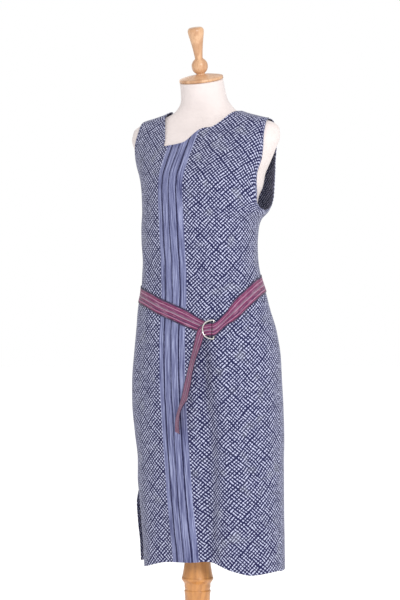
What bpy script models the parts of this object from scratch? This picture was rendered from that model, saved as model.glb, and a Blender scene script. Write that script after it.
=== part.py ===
"""Sleeveless sheath dress with its own belt, on a limbless dress form with a turned wooden stand.

Metres, Z up. The dress faces -Y and the origin is on the floor, on the axis of the post.
"""

import math

import bpy
import numpy as np
from mathutils import Matrix, Vector
from mathutils.bvhtree import BVHTree

# Cloth
WALL = 0.0014
SEAM_GAP = 0.0003
UNDERARM_Z = 1.131
SLIT_TOP_Z = 0.500

# Steps of the cloth's grids
STRAP_STEPS = 8
LEFT_STEPS = 9
STRAP_ROWS = 6
BACK_SHOULDER_STEPS = 8
BACK_NECK_STEPS = 8
# Rows below the underarm, closer at the belt; those under the last fixed one stretch to the hem.
LAST_FIXED_ROW = 0.842
PLAIN_HEM = 0.300
ROW_HEIGHTS = (
    1.092, 1.054, 1.017, 0.990, 0.966, 0.942, 0.918, 0.893, 0.868, 0.842,
    0.812, 0.776, 0.737, 0.695, 0.645, 0.590, 0.540, 0.507, 0.488, 0.468, 0.435, 0.390, 0.345, 0.300,
)

# Belt
BELT_WIDTH = 0.036
TIE_WIDTH = 0.030
BELT_THICKNESS = 0.0015
BELT_GAP = 0.0007
LAYER_GAP = 0.0004
TIE_ANGLE = 29.0
TIE_HEIGHT = 0.8585
RING_WIRE = 0.0034
RING_HALF_HEIGHT = 0.0212
RING_DEPTH = 0.024

# Form and stand
NECK_TILT = 14.0
NECK_TOP_Z = 1.4365
TORSO_BOTTOM_Z = 0.690
FIT_GAP = 0.0003
BASE_HEIGHT = 0.026

# The dress at its outer face, level by level; right and left are the wearer's.
DRESS_COLUMNS = ("z", "right", "left", "front", "back", "centre_y", "power")
DRESS_LEVELS = (
    (0.2800, 0.1600, 0.1980, 0.1040, 0.1260, 0.0360, 2.20),
    (0.3450, 0.1602, 0.1978, 0.1070, 0.1260, 0.0350, 2.20),
    (0.4570, 0.1630, 0.1970, 0.1150, 0.1270, 0.0320, 2.20),
    (0.5500, 0.1605, 0.1975, 0.1190, 0.1270, 0.0300, 2.20),
    (0.6060, 0.1666, 0.1994, 0.1210, 0.1270, 0.0280, 2.20),
    (0.6810, 0.1728, 0.1984, 0.1220, 0.1270, 0.0250, 2.20),
    (0.7370, 0.1713, 0.1967, 0.1210, 0.1250, 0.0220, 2.20),
    (0.7930, 0.1652, 0.1948, 0.1190, 0.1210, 0.0200, 2.20),
    (0.8490, 0.1583, 0.1867, 0.1160, 0.1140, 0.0180, 2.20),
    (0.9050, 0.1540, 0.1690, 0.1110, 0.1060, 0.0180, 2.20),
    (0.9420, 0.1457, 0.1583, 0.1080, 0.1030, 0.0180, 2.20),
    (0.9800, 0.1425, 0.1445, 0.1090, 0.1030, 0.0180, 2.20),
    (1.0170, 0.1410, 0.1390, 0.1120, 0.1060, 0.0170, 2.10),
    (1.0540, 0.1420, 0.1372, 0.1160, 0.1090, 0.0160, 2.10),
    (1.0920, 0.1425, 0.1395, 0.1210, 0.1120, 0.0170, 2.10),
    (1.1100, 0.1420, 0.1460, 0.1235, 0.1135, 0.0175, 2.05),
    (1.1310, 0.1415, 0.1680, 0.1260, 0.1150, 0.0180, 2.00),
    (1.1660, 0.1425, 0.1810, 0.1310, 0.1170, 0.0200, 2.00),
    (1.1900, 0.1455, 0.1820, 0.1330, 0.1180, 0.0220, 2.00),
    (1.2150, 0.1545, 0.1815, 0.1300, 0.1180, 0.0260, 2.00),
    (1.2420, 0.1690, 0.1815, 0.1180, 0.1150, 0.0310, 2.00),
    (1.2800, 0.1845, 0.1900, 0.0950, 0.1050, 0.0370, 2.00),
    (1.3050, 0.1930, 0.1960, 0.0790, 0.0940, 0.0400, 2.00),
    (1.3255, 0.1900, 0.1900, 0.0660, 0.0810, 0.0430, 2.00),
    (1.3360, 0.1810, 0.1810, 0.0600, 0.0730, 0.0440, 2.00),
    (1.3450, 0.1630, 0.1630, 0.0560, 0.0670, 0.0450, 2.00),
    (1.3520, 0.1350, 0.1350, 0.0540, 0.0620, 0.0450, 2.00),
    (1.3590, 0.1080, 0.1080, 0.0540, 0.0590, 0.0440, 2.00),
    (1.3660, 0.0890, 0.0890, 0.0540, 0.0580, 0.0430, 2.00),
    (1.3780, 0.0700, 0.0700, 0.0540, 0.0570, 0.0400, 2.00),
)

# Armhole edges' distance from the middle, from the shoulder (0) to the underarm (1).
ARMHOLE_COLUMNS = ("share", "front_right", "front_left", "back_right", "back_left")
ARMHOLE = (
    (0.0, 0.1630, 0.1630, 0.1630, 0.1630),
    (0.12, 0.1615, 0.1660, 0.1620, 0.1620),
    (0.25, 0.1600, 0.1690, 0.1600, 0.1610),
    (0.4, 0.1610, 0.1715, 0.1580, 0.1590),
    (0.5, 0.1650, 0.1725, 0.1570, 0.1590),
    (0.6, 0.1620, 0.1715, 0.1560, 0.1600),
    (0.75, 0.1460, 0.1675, 0.1500, 0.1640),
    (0.88, 0.1370, 0.1690, 0.1370, 0.1650),
    (0.95, 0.1350, 0.1670, 0.1350, 0.1640),
    (1.0, 0.1415, 0.1680, 0.1415, 0.1680),
)
# Rows from the shoulder to the underarm, as shares of the way, closer at both ends.
FRONT_SHARES = (0.0, 0.09, 0.19, 0.30, 0.42, 0.54, 0.66, 0.77, 0.88, 0.95, 1.0)
BACK_SHARES = (0.0, 0.07, 0.14, 0.22, 0.30, 0.39, 0.48, 0.57, 0.66, 0.77, 0.88, 0.95, 1.0)

# Front neck edge from its squared corner on the right to the left neck point.
NECKLINE_COLUMNS = ("x", "z")
NECKLINE = (
    (-0.0620, 1.2810),
    (-0.0480, 1.2825),
    (-0.0330, 1.2845),
    (-0.0200, 1.2870),
    (-0.0080, 1.2910),
    (0.0005, 1.2990),
    (0.0100, 1.3110),
    (0.0190, 1.3190),
    (0.0315, 1.3235),
    (0.0470, 1.3245),
    (0.0600, 1.3310),
    (0.0740, 1.3430),
    (0.0850, 1.3545),
    (0.0930, 1.3645),
)
# Inner edge of the right shoulder strap, from the shoulder down to the corner.
STRAP_COLUMNS = ("share", "x")
STRAP_EDGE = (
    (0.0, -0.0890),
    (0.35, -0.0880),
    (0.70, -0.0780),
    (1.0, -0.0620),
)
NECK_POINT_X = 0.0930
BACK_NECK_DROP = 0.020

# Height of the hem round the front and the back, by the sine of the angle from the middle.
HEM_COLUMNS = ("side", "front_z", "back_z")
HEM = (
    (-1.0, 0.291, 0.300),
    (-0.7, 0.300, 0.304),
    (-0.3, 0.3155, 0.308),
    (0.1, 0.319, 0.310),
    (0.3, 0.321, 0.308),
    (0.45, 0.3155, 0.306),
    (0.65, 0.302, 0.304),
    (0.8, 0.294, 0.301),
    (1.0, 0.300, 0.298),
)

# How the open slit's two edges stand at a drop below its top; it is in the right side seam.
SLIT_COLUMNS = ("drop", "front_inward", "front_backward", "back_outward", "back_forward")
SLIT = (
    (0.000, 0.0000, 0.0000, 0.0000, 0.0000),
    (0.012, 0.0020, 0.0000, 0.0035, 0.0000),
    (0.032, 0.0055, 0.0010, 0.0110, 0.0045),
    (0.065, 0.0080, 0.0030, 0.0135, 0.0100),
    (0.110, 0.0100, 0.0050, 0.0125, 0.0095),
    (0.155, 0.0120, 0.0060, 0.0100, 0.0075),
    (0.215, 0.0135, 0.0070, 0.0085, 0.0060),
)

# Soft folds: where each lies at the top and at the hem, its width and how far it stands out.
FOLD_COLUMNS = ("face", "side_top", "side_hem", "width", "z_top", "stand_mid", "stand_hem")
FOLDS = (
    ("front", 0.26, 0.33, 0.13, 0.84, -0.006, -0.013),
    ("front", 0.52, 0.62, 0.17, 0.86, 0.004, 0.011),
    ("front", -0.62, -0.66, 0.20, 0.80, 0.003, 0.005),
    ("front", -0.28, -0.22, 0.14, 0.74, -0.001, -0.004),
    ("back", -0.35, -0.42, 0.16, 0.84, -0.004, -0.009),
    ("back", 0.02, 0.03, 0.20, 0.80, 0.003, 0.008),
    ("back", 0.42, 0.48, 0.16, 0.84, -0.004, -0.009),
)

# The padded torso and neck, level by level.
FORM_COLUMNS = ("z", "centre_x", "half_width", "front", "back", "centre_y")
FORM_LEVELS = (
    (0.6900, 0.0000, 0.1180, 0.0740, 0.0860, 0.0120),
    (0.6925, 0.0000, 0.1300, 0.0800, 0.0940, 0.0120),
    (0.7000, 0.0000, 0.1390, 0.0860, 0.1020, 0.0130),
    (0.7300, 0.0000, 0.1520, 0.0940, 0.1120, 0.0160),
    (0.7650, 0.0000, 0.1570, 0.0960, 0.1130, 0.0160),
    (0.8200, 0.0000, 0.1500, 0.0940, 0.1050, 0.0150),
    (0.8900, 0.0000, 0.1340, 0.0880, 0.0930, 0.0150),
    (0.9650, 0.0000, 0.1200, 0.0850, 0.0840, 0.0150),
    (1.0300, 0.0000, 0.1250, 0.0920, 0.0880, 0.0150),
    (1.1000, 0.0030, 0.1310, 0.1060, 0.0960, 0.0170),
    (1.1570, 0.0040, 0.1345, 0.1240, 0.1030, 0.0200),
    (1.1900, 0.0040, 0.1460, 0.1295, 0.1100, 0.0220),
    (1.2150, 0.0030, 0.1500, 0.1265, 0.1130, 0.0260),
    (1.2420, 0.0020, 0.1620, 0.1135, 0.1095, 0.0310),
    (1.2620, 0.0010, 0.1720, 0.1010, 0.1055, 0.0340),
    (1.2800, -0.0015, 0.1820, 0.0910, 0.1000, 0.0370),
    (1.3030, -0.0020, 0.1915, 0.0755, 0.0900, 0.0400),
    (1.3222, -0.0020, 0.1895, 0.0610, 0.0755, 0.0430),
    (1.3323, -0.0010, 0.1790, 0.0545, 0.0670, 0.0440),
    (1.3408, 0.0000, 0.1590, 0.0505, 0.0600, 0.0450),
    (1.3475, 0.0000, 0.1300, 0.0485, 0.0550, 0.0450),
    (1.3538, 0.0000, 0.1025, 0.0485, 0.0515, 0.0440),
    (1.3610, 0.0000, 0.0835, 0.0485, 0.0505, 0.0430),
    (1.3750, 0.0000, 0.0665, 0.0505, 0.0535, 0.0400),
    (1.3900, 0.0000, 0.0560, 0.0505, 0.0525, 0.0340),
    (1.4100, 0.0000, 0.0525, 0.0505, 0.0510, 0.0280),
    (1.4300, 0.0000, 0.0510, 0.0500, 0.0500, 0.0215),
    (1.4365, 0.0000, 0.0505, 0.0500, 0.0500, 0.0190),
)
FORM_POWER = 2.0
FORM_SIDES = 36

# Height of the belt's middle line round the body, by angle from the front middle.
BELT_PATH_COLUMNS = ("angle", "z")
BELT_PATH = (
    (-180.0, 0.966),
    (-150.0, 0.963),
    (-120.0, 0.956),
    (-90.0, 0.944),
    (-60.0, 0.934),
    (-40.0, 0.926),
    (-20.0, 0.910),
    (0.0, 0.8915),
    (8.0, 0.8820),
    (14.0, 0.8740),
    (18.5, 0.8680),
    (24.0, 0.8610),
    (27.0, 0.8585),
    (29.0, 0.8585),
    (31.0, 0.8615),
    (34.0, 0.8690),
    (38.0, 0.8785),
    (45.0, 0.8935),
    (60.0, 0.9220),
    (75.0, 0.9420),
    (90.0, 0.9550),
    (120.0, 0.965),
    (150.0, 0.968),
    (180.0, 0.966),
)
# The hanging end: position from the tie, lift off the dress, turn of the band, its twist and width.
TAIL_COLUMNS = ("along", "down", "lift", "turn", "twist", "wide")
TAIL = (
    (-0.0150, -0.001, 0.0073, 4.0, 0.0, 0.028),
    (-0.0250, -0.004, 0.0075, 14.0, 0.0, 0.028),
    (-0.0300, -0.012, 0.0092, 34.0, -10.0, 0.028),
    (-0.0335, -0.027, 0.0125, 54.0, -30.0, 0.030),
    (-0.0390, -0.048, 0.0160, 66.0, -44.0, 0.033),
    (-0.0460, -0.074, 0.0175, 74.0, -50.0, 0.035),
    (-0.0520, -0.100, 0.0175, 78.0, -50.0, 0.036),
    (-0.0580, -0.128, 0.0170, 78.0, -46.0, 0.036),
    (-0.0640, -0.154, 0.0175, 72.0, -50.0, 0.036),
    (-0.0730, -0.180, 0.0185, 74.0, -58.0, 0.036),
    (-0.0790, -0.208, 0.0175, 82.0, -50.0, 0.036),
    (-0.0800, -0.236, 0.0165, 86.0, -46.0, 0.036),
)

# Turned profiles: distance along the axis and radius.
PROFILE_COLUMNS = ("along", "radius")
KNOB_PROFILE = (
    (0.0000, 0.0000),
    (0.0000, 0.0480),
    (0.0015, 0.0512),
    (0.0045, 0.0518),
    (0.0065, 0.0500),
    (0.0095, 0.0370),
    (0.0125, 0.0200),
    (0.0140, 0.0105),
    (0.0165, 0.0100),
    (0.0190, 0.0135),
    (0.0255, 0.0178),
    (0.0330, 0.0190),
    (0.0405, 0.0178),
    (0.0470, 0.0135),
    (0.0500, 0.0098),
    (0.0530, 0.0092),
    (0.0700, 0.0112),
    (0.0900, 0.0145),
    (0.1060, 0.0178),
    (0.1150, 0.0190),
    (0.1205, 0.0178),
    (0.1235, 0.0130),
    (0.1240, 0.0000),
)
POST_PROFILE = (
    (0.0000, 0.0000),
    (0.0000, 0.0440),
    (0.0060, 0.0460),
    (0.0140, 0.0440),
    (0.0260, 0.0360),
    (0.0600, 0.0300),
    (0.1300, 0.0285),
    (0.1900, 0.0290),
    (0.2100, 0.0300),
    (0.2180, 0.0312),
    (0.2205, 0.0290),
    (0.2270, 0.0305),
    (0.2350, 0.0310),
    (0.2420, 0.0355),
    (0.2455, 0.0372),
    (0.2490, 0.0368),
    (0.2530, 0.0355),
    (0.2850, 0.0305),
    (0.3500, 0.0275),
    (0.5000, 0.0260),
    (0.6200, 0.0270),
)
BASE_PROFILE = (
    (0.0000, 0.0000),
    (0.0000, 0.1500),
    (0.0030, 0.1550),
    (0.0130, 0.1550),
    (0.0190, 0.1520),
    (0.0230, 0.1420),
    (0.0260, 0.1300),
    (0.0260, 0.0000),
)
TURNED_SIDES = 28

MATERIAL_COLUMNS = ("red", "green", "blue", "roughness", "metallic")
MATERIALS = {
    "batik_cloth": (0.16, 0.18, 0.36, 0.85, 0.0),
    "belt_weave": (0.30, 0.07, 0.14, 0.85, 0.0),
    "ring_steel": (0.72, 0.72, 0.74, 0.25, 1.0),
    "form_cover": (0.82, 0.76, 0.72, 0.9, 0.0),
    "turned_wood": (0.72, 0.42, 0.20, 0.45, 0.0),
}


def column(rows, names, name):
    """One named column of a table."""
    at = names.index(name)
    return [row[at] for row in rows]


def smooth(xs, ys, x):
    """A curve through the points that does not overshoot them, read at x; xs rise."""
    xs = np.asarray(xs, float)
    ys = np.asarray(ys, float)
    x = float(min(max(x, xs[0]), xs[-1]))
    steps = np.diff(xs)
    rises = np.diff(ys) / steps
    at = int(min(max(np.searchsorted(xs, x, side="right") - 1, 0), len(xs) - 2))

    def slope(k):
        if k == 0:
            return rises[0]
        if k == len(xs) - 1:
            return rises[-1]
        if rises[k - 1] * rises[k] <= 0:
            return 0.0
        first = 2 * steps[k] + steps[k - 1]
        second = steps[k] + 2 * steps[k - 1]
        return (first + second) / (first / rises[k - 1] + second / rises[k])

    span = steps[at]
    t = (x - xs[at]) / span
    a = (1 + 2 * t) * (1 - t) ** 2 * ys[at] + t * (1 - t) ** 2 * span * slope(at)
    b = t * t * (3 - 2 * t) * ys[at + 1] + t * t * (t - 1) * span * slope(at + 1)
    return float(a + b)


def read(rows, names, key, name, x):
    """A named column of a table, read smoothly at x of the key column."""
    return smooth(column(rows, names, key), column(rows, names, name), x)


def dress_level(name, z):
    return read(DRESS_LEVELS, DRESS_COLUMNS, "z", name, z)


def form_level(name, z):
    return read(FORM_LEVELS, FORM_COLUMNS, "z", name, z)


def hull_depth(ratio, power):
    """How much of the full depth a section keeps at this share of its half-width."""
    ratio = min(abs(ratio), 1.0)
    return (1.0 - ratio**power) ** (1.0 / power)


def fold_stand(face, side, z):
    """How far the folds of one face stand out at this place."""
    total = 0.0
    for fold in FOLDS:
        values = dict(zip(FOLD_COLUMNS, fold))
        if values["face"] != face or z > values["z_top"]:
            continue
        down = (values["z_top"] - z) / (values["z_top"] - 0.300)
        middle = values["side_top"] + (values["side_hem"] - values["side_top"]) * down
        grow = min(down * 2.0, 1.0)
        stand = values["stand_mid"] * grow * grow * (3 - 2 * grow)
        stand += (values["stand_hem"] - values["stand_mid"]) * down * down
        total += stand * math.exp(-(((side - middle) / values["width"]) ** 2))
    return total * (1.0 - side * side)


def slit_shift(name, side, z):
    """One of the slit's shifts at this place, less and less away from the seam."""
    if z >= SLIT_TOP_Z or side > -0.55:
        return 0.0
    near = (-0.55 - side) / 0.45
    return read(SLIT, SLIT_COLUMNS, "drop", name, SLIT_TOP_Z - z) * near * near


def dress_surface(face, side, z, half_width=None):
    """Outer point of the front or back; side is the sine of the angle from its middle."""
    sign = -1.0 if face == "front" else 1.0
    full = dress_level("left" if side > 0 else "right", z)
    width = full if half_width is None else half_width
    x = width * side
    keep = hull_depth(x / full, dress_level("power", z))
    y = dress_level("centre_y", z) + sign * dress_level(face, z) * keep
    y += sign * fold_stand(face, side, z)
    y += sign * SEAM_GAP / 2
    if face == "front":
        x += slit_shift("front_inward", side, z)
        y += slit_shift("front_backward", side, z)
    else:
        x -= slit_shift("back_outward", side, z)
        y -= slit_shift("back_forward", side, z)
    return Vector((x, y, z))


def ridge_z(x):
    """Height of the shoulder ridge above this distance from the middle."""
    widths = column(DRESS_LEVELS, DRESS_COLUMNS, "left")[-8:]
    heights = column(DRESS_LEVELS, DRESS_COLUMNS, "z")[-8:]
    return smooth(widths[::-1], heights[::-1], abs(x))


def armhole(face, side, share):
    """Distance of an armhole edge from the middle, on the side that the sign of side gives."""
    name = face + ("_left" if side > 0 else "_right")
    return read(ARMHOLE, ARMHOLE_COLUMNS, "share", name, share)


def thicken(name, points, quads, wall, flat_y, material):
    """A closed solid from an outer skin of quads, its wall turned inwards."""
    normals = [Vector((0.0, 0.0, 0.0)) for _ in points]
    for quad in quads:
        a, b, c, d = (points[i] for i in quad)
        normal = (c - a).cross(d - b)
        for i in quad:
            normals[i] += normal
    for i, normal in enumerate(normals):
        if i in flat_y:
            normal.y = 0.0
        normal.normalize()
    count = len(points)
    inner = [p - n * wall for p, n in zip(points, normals)]
    edges = {}
    for quad in quads:
        for k in range(4):
            edges[(quad[k], quad[(k + 1) % 4])] = True
    faces = [tuple(quad) for quad in quads]
    faces += [tuple(i + count for i in reversed(quad)) for quad in quads]
    for a, b in edges:
        if (b, a) not in edges:
            faces.append((b, a, a + count, b + count))
    return add_mesh(name, points + inner, faces, material)


def add_mesh(name, points, faces, material):
    mesh = bpy.data.meshes.new(name)
    mesh.from_pydata([tuple(p) for p in points], [], faces)
    mesh.validate()
    mesh.update()
    obj = bpy.data.objects.new(name, mesh)
    obj.data.materials.append(material)
    bpy.context.scene.collection.objects.link(obj)
    return obj


def make_material(name):
    values = dict(zip(MATERIAL_COLUMNS, MATERIALS[name]))
    material = bpy.data.materials.new(name)
    material.use_nodes = True
    shader = material.node_tree.nodes["Principled BSDF"]
    shader.inputs["Base Color"].default_value = (values["red"], values["green"], values["blue"], 1.0)
    shader.inputs["Roughness"].default_value = values["roughness"]
    shader.inputs["Metallic"].default_value = values["metallic"]
    return material


def spread(first, last, count):
    """count values from first to last, both ends in."""
    return [first + (last - first) * k / (count - 1) for k in range(count)]


def drop_share(row):
    """Height share of a row between underarm (0) and shoulder (1), finer near the shoulder."""
    return math.cos(row * math.pi / 2)


def row_z(face, side, number):
    """Height of a numbered row below the underarm at this place."""
    z = ROW_HEIGHTS[number - 1]
    if z >= LAST_FIXED_ROW:
        return z
    hem = read(HEM, HEM_COLUMNS, "side", face + "_z", side)
    return hem + (z - PLAIN_HEM) * (LAST_FIXED_ROW - hem) / (LAST_FIXED_ROW - PLAIN_HEM)


def corner_row():
    """Row of the neck's squared corner, from the shoulder (0) to the underarm (1)."""
    share = (NECKLINE[0][1] - UNDERARM_Z) / (ridge_z(STRAP_EDGE[0][1]) - UNDERARM_Z)
    return math.acos(share) / (math.pi / 2)


def strap_side(row, step):
    """Side share of a right strap column at a row, from the armhole to the inner edge."""
    share = min(row / corner_row(), 1.0)
    inner = read(STRAP_EDGE, STRAP_COLUMNS, "share", "x", share) / armhole("front", -1, row)
    return math.sin(-math.pi / 2 + (math.pi / 2 + math.asin(inner)) * step)


def front_sides():
    """Side shares of the front's columns, from its right side seam to its left."""
    row = corner_row()
    sides = [strap_side(row, k / STRAP_STEPS) for k in range(STRAP_STEPS + 1)]
    for x in column(NECKLINE, NECKLINE_COLUMNS, "x")[1:-1]:
        sides.append(x / armhole("front", x, row))
    start = math.asin(NECKLINE[-1][0] / armhole("front", 1, 0.0))
    sides += [math.sin(a) for a in spread(start, math.pi / 2, LEFT_STEPS + 1)]
    return sides


def back_sides():
    """Side shares of the back's columns, from the right side seam to the left."""
    neck = math.asin(NECK_POINT_X / armhole("back", 1, 0.0))
    angles = spread(-math.pi / 2, -neck, BACK_SHOULDER_STEPS + 1)
    angles += spread(-neck, neck, BACK_NECK_STEPS + 1)[1:-1]
    angles += spread(neck, math.pi / 2, BACK_SHOULDER_STEPS + 1)
    return [math.sin(a) for a in angles]


def build_front(material):
    """The front panel: a body grid up to the neck edge, and the right shoulder strap above."""
    corner_z = NECKLINE[0][1]
    square_row = corner_row()
    sides = front_sides()
    left_first = STRAP_STEPS + len(NECKLINE) - 1
    front_rows = len(FRONT_SHARES) - 1

    def top_height(at, side):
        if at == STRAP_STEPS:
            return corner_z
        if at < STRAP_STEPS:
            x = armhole("front", -1, square_row) * side
            return UNDERARM_Z + (ridge_z(x) - UNDERARM_Z) * drop_share(square_row)
        if at < left_first:
            return NECKLINE[at - STRAP_STEPS][1]
        return ridge_z(armhole("front", 1, 0.0) * side)

    points = []
    quads = []
    flat_y = set()
    total_rows = front_rows + len(ROW_HEIGHTS)
    count = len(sides)
    for row in range(total_rows + 1):
        for at, side in enumerate(sides):
            if row <= front_rows:
                part = FRONT_SHARES[row]
                level = square_row + (1.0 - square_row) * part
                keep = drop_share(level) / drop_share(square_row)
                roll = min(max((at - STRAP_STEPS) / (left_first - STRAP_STEPS), 0.0), 1.0)
                keep = (1.0 - roll) * keep + roll * drop_share(part)
                level = (1.0 - roll) * level + roll * part
                z = UNDERARM_Z + (top_height(at, side) - UNDERARM_Z) * keep
                width = armhole("front", side, level) if row < front_rows else None
                point = dress_surface("front", side, z, width)
                if row == 0 and at >= left_first:
                    flat_y.add(len(points))
                if row == front_rows and at in (0, count - 1):
                    flat_y.add(len(points))
            else:
                point = dress_surface("front", side, row_z("front", side, row - front_rows))
                if at in (0, count - 1):
                    flat_y.add(len(points))
            points.append(point)
    for row in range(total_rows):
        for at in range(count - 1):
            first = row * count + at
            quads.append((first, first + count, first + count + 1, first + 1))

    above = list(range(STRAP_STEPS + 1))
    for row in range(STRAP_ROWS - 1, -1, -1):
        level = square_row * row / STRAP_ROWS
        line = []
        for at in range(STRAP_STEPS + 1):
            side = strap_side(level, at / STRAP_STEPS)
            width = armhole("front", -1, level)
            x = width * side
            top = ridge_z(x)
            z = UNDERARM_Z + (top - UNDERARM_Z) * drop_share(level)
            if row == 0:
                flat_y.add(len(points))
            line.append(len(points))
            points.append(dress_surface("front", side, z, width))
        for at in range(STRAP_STEPS):
            quads.append((line[at], above[at], above[at + 1], line[at + 1]))
        above = line
    return thicken("dress_front", points, quads, WALL, flat_y, material)


def build_back(material):
    """The back panel, from a shallow round neck to the hem."""
    first = NECK_POINT_X / armhole("back", 1, 0.0)
    sides = back_sides()
    back_rows = len(BACK_SHARES) - 1
    points = []
    quads = []
    flat_y = set()
    count = len(sides)
    total_rows = back_rows + len(ROW_HEIGHTS)
    for row in range(total_rows + 1):
        for at, side in enumerate(sides):
            on_neck = BACK_SHOULDER_STEPS < at < BACK_SHOULDER_STEPS + BACK_NECK_STEPS
            if row <= back_rows:
                part = BACK_SHARES[row]
                top = ridge_z(armhole("back", 1, 0.0) * side)
                if on_neck:
                    drop = BACK_NECK_DROP * math.sqrt(1.0 - (side / first) ** 2)
                    top = ridge_z(NECK_POINT_X) - drop
                z = UNDERARM_Z + (top - UNDERARM_Z) * drop_share(part)
                width = armhole("back", side, part) if row < back_rows else None
                point = dress_surface("back", side, z, width)
                if row == 0 and not on_neck:
                    flat_y.add(len(points))
                if row == back_rows and at in (0, count - 1):
                    flat_y.add(len(points))
            else:
                point = dress_surface("back", side, row_z("back", side, row - back_rows))
                if at in (0, count - 1):
                    flat_y.add(len(points))
            points.append(point)
    for row in range(total_rows):
        for at in range(count - 1):
            first_point = row * count + at
            quads.append((first_point, first_point + 1, first_point + count + 1, first_point + count))
    return thicken("dress_back", points, quads, WALL, flat_y, material)


def belt_place(angle, z, lift):
    """A point over the dress at this angle from the front middle, lifted off its outer face."""

    def outer(turn, height):
        turn = (turn + 180.0) % 360.0 - 180.0
        face = "front" if abs(turn) <= 90.0 else "back"
        return dress_surface(face, math.sin(math.radians(turn)), height)

    step = 0.5
    across = outer(angle + step, z) - outer(angle - step, z)
    up = outer(angle, z + 0.002) - outer(angle, z - 0.002)
    normal = across.cross(up)
    normal.normalize()
    return outer(angle, z) + normal * lift, normal


def belt_height(angle):
    angle = (angle + 180.0) % 360.0 - 180.0
    return read(BELT_PATH, BELT_PATH_COLUMNS, "angle", "z", angle)


def tie_radius():
    a, _ = belt_place(TIE_ANGLE - 1.0, TIE_HEIGHT, 0.0)
    b, _ = belt_place(TIE_ANGLE + 1.0, TIE_HEIGHT, 0.0)
    return (b - a).length / math.radians(2.0)


def tie_place(along, up, lift):
    """A point near the tie: distance along the dress, height over the tie and lift."""
    angle = TIE_ANGLE + math.degrees(along / tie_radius())
    return belt_place(angle, TIE_HEIGHT + up, lift)


def tie_up():
    """The straight upward direction of the two rings' bars."""
    bar, outward = tie_place(0.0, 0.0, 0.0)
    tip, _ = tie_place(-RING_DEPTH, 0.0, 0.0)
    return outward.cross(bar - tip).normalized()


def ribbon(name, stations, thickness, material):
    """A closed band through stations of three points across it and a face normal."""
    points = []
    for across, normal in stations:
        points += [point + normal * thickness / 2 for point in across]
        points += [point - normal * thickness / 2 for point in across]
    faces = []
    per = 6
    last = len(stations) - 1
    for k in range(last):
        a = k * per
        b = a + per
        faces += [(a, b, b + 1, a + 1), (a + 1, b + 1, b + 2, a + 2)]
        faces += [(a + 3, a + 4, b + 4, b + 3), (a + 4, a + 5, b + 5, b + 4)]
        faces += [(a, a + 3, b + 3, b), (a + 2, b + 2, b + 5, a + 5)]
    faces += [(0, 1, 4, 3), (1, 2, 5, 4)]
    end = last * per
    faces += [(end, end + 3, end + 4, end + 1), (end + 1, end + 4, end + 5, end + 2)]
    return add_mesh(name, points, faces, material)


def skin_tree(objects):
    """A search tree of the faces of several objects."""
    points = []
    faces = []
    for obj in objects:
        first = len(points)
        points += [vertex.co.copy() for vertex in obj.data.vertices]
        faces += [tuple(first + i for i in polygon.vertices) for polygon in obj.data.polygons]
    return BVHTree.FromPolygons(points, faces)


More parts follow.
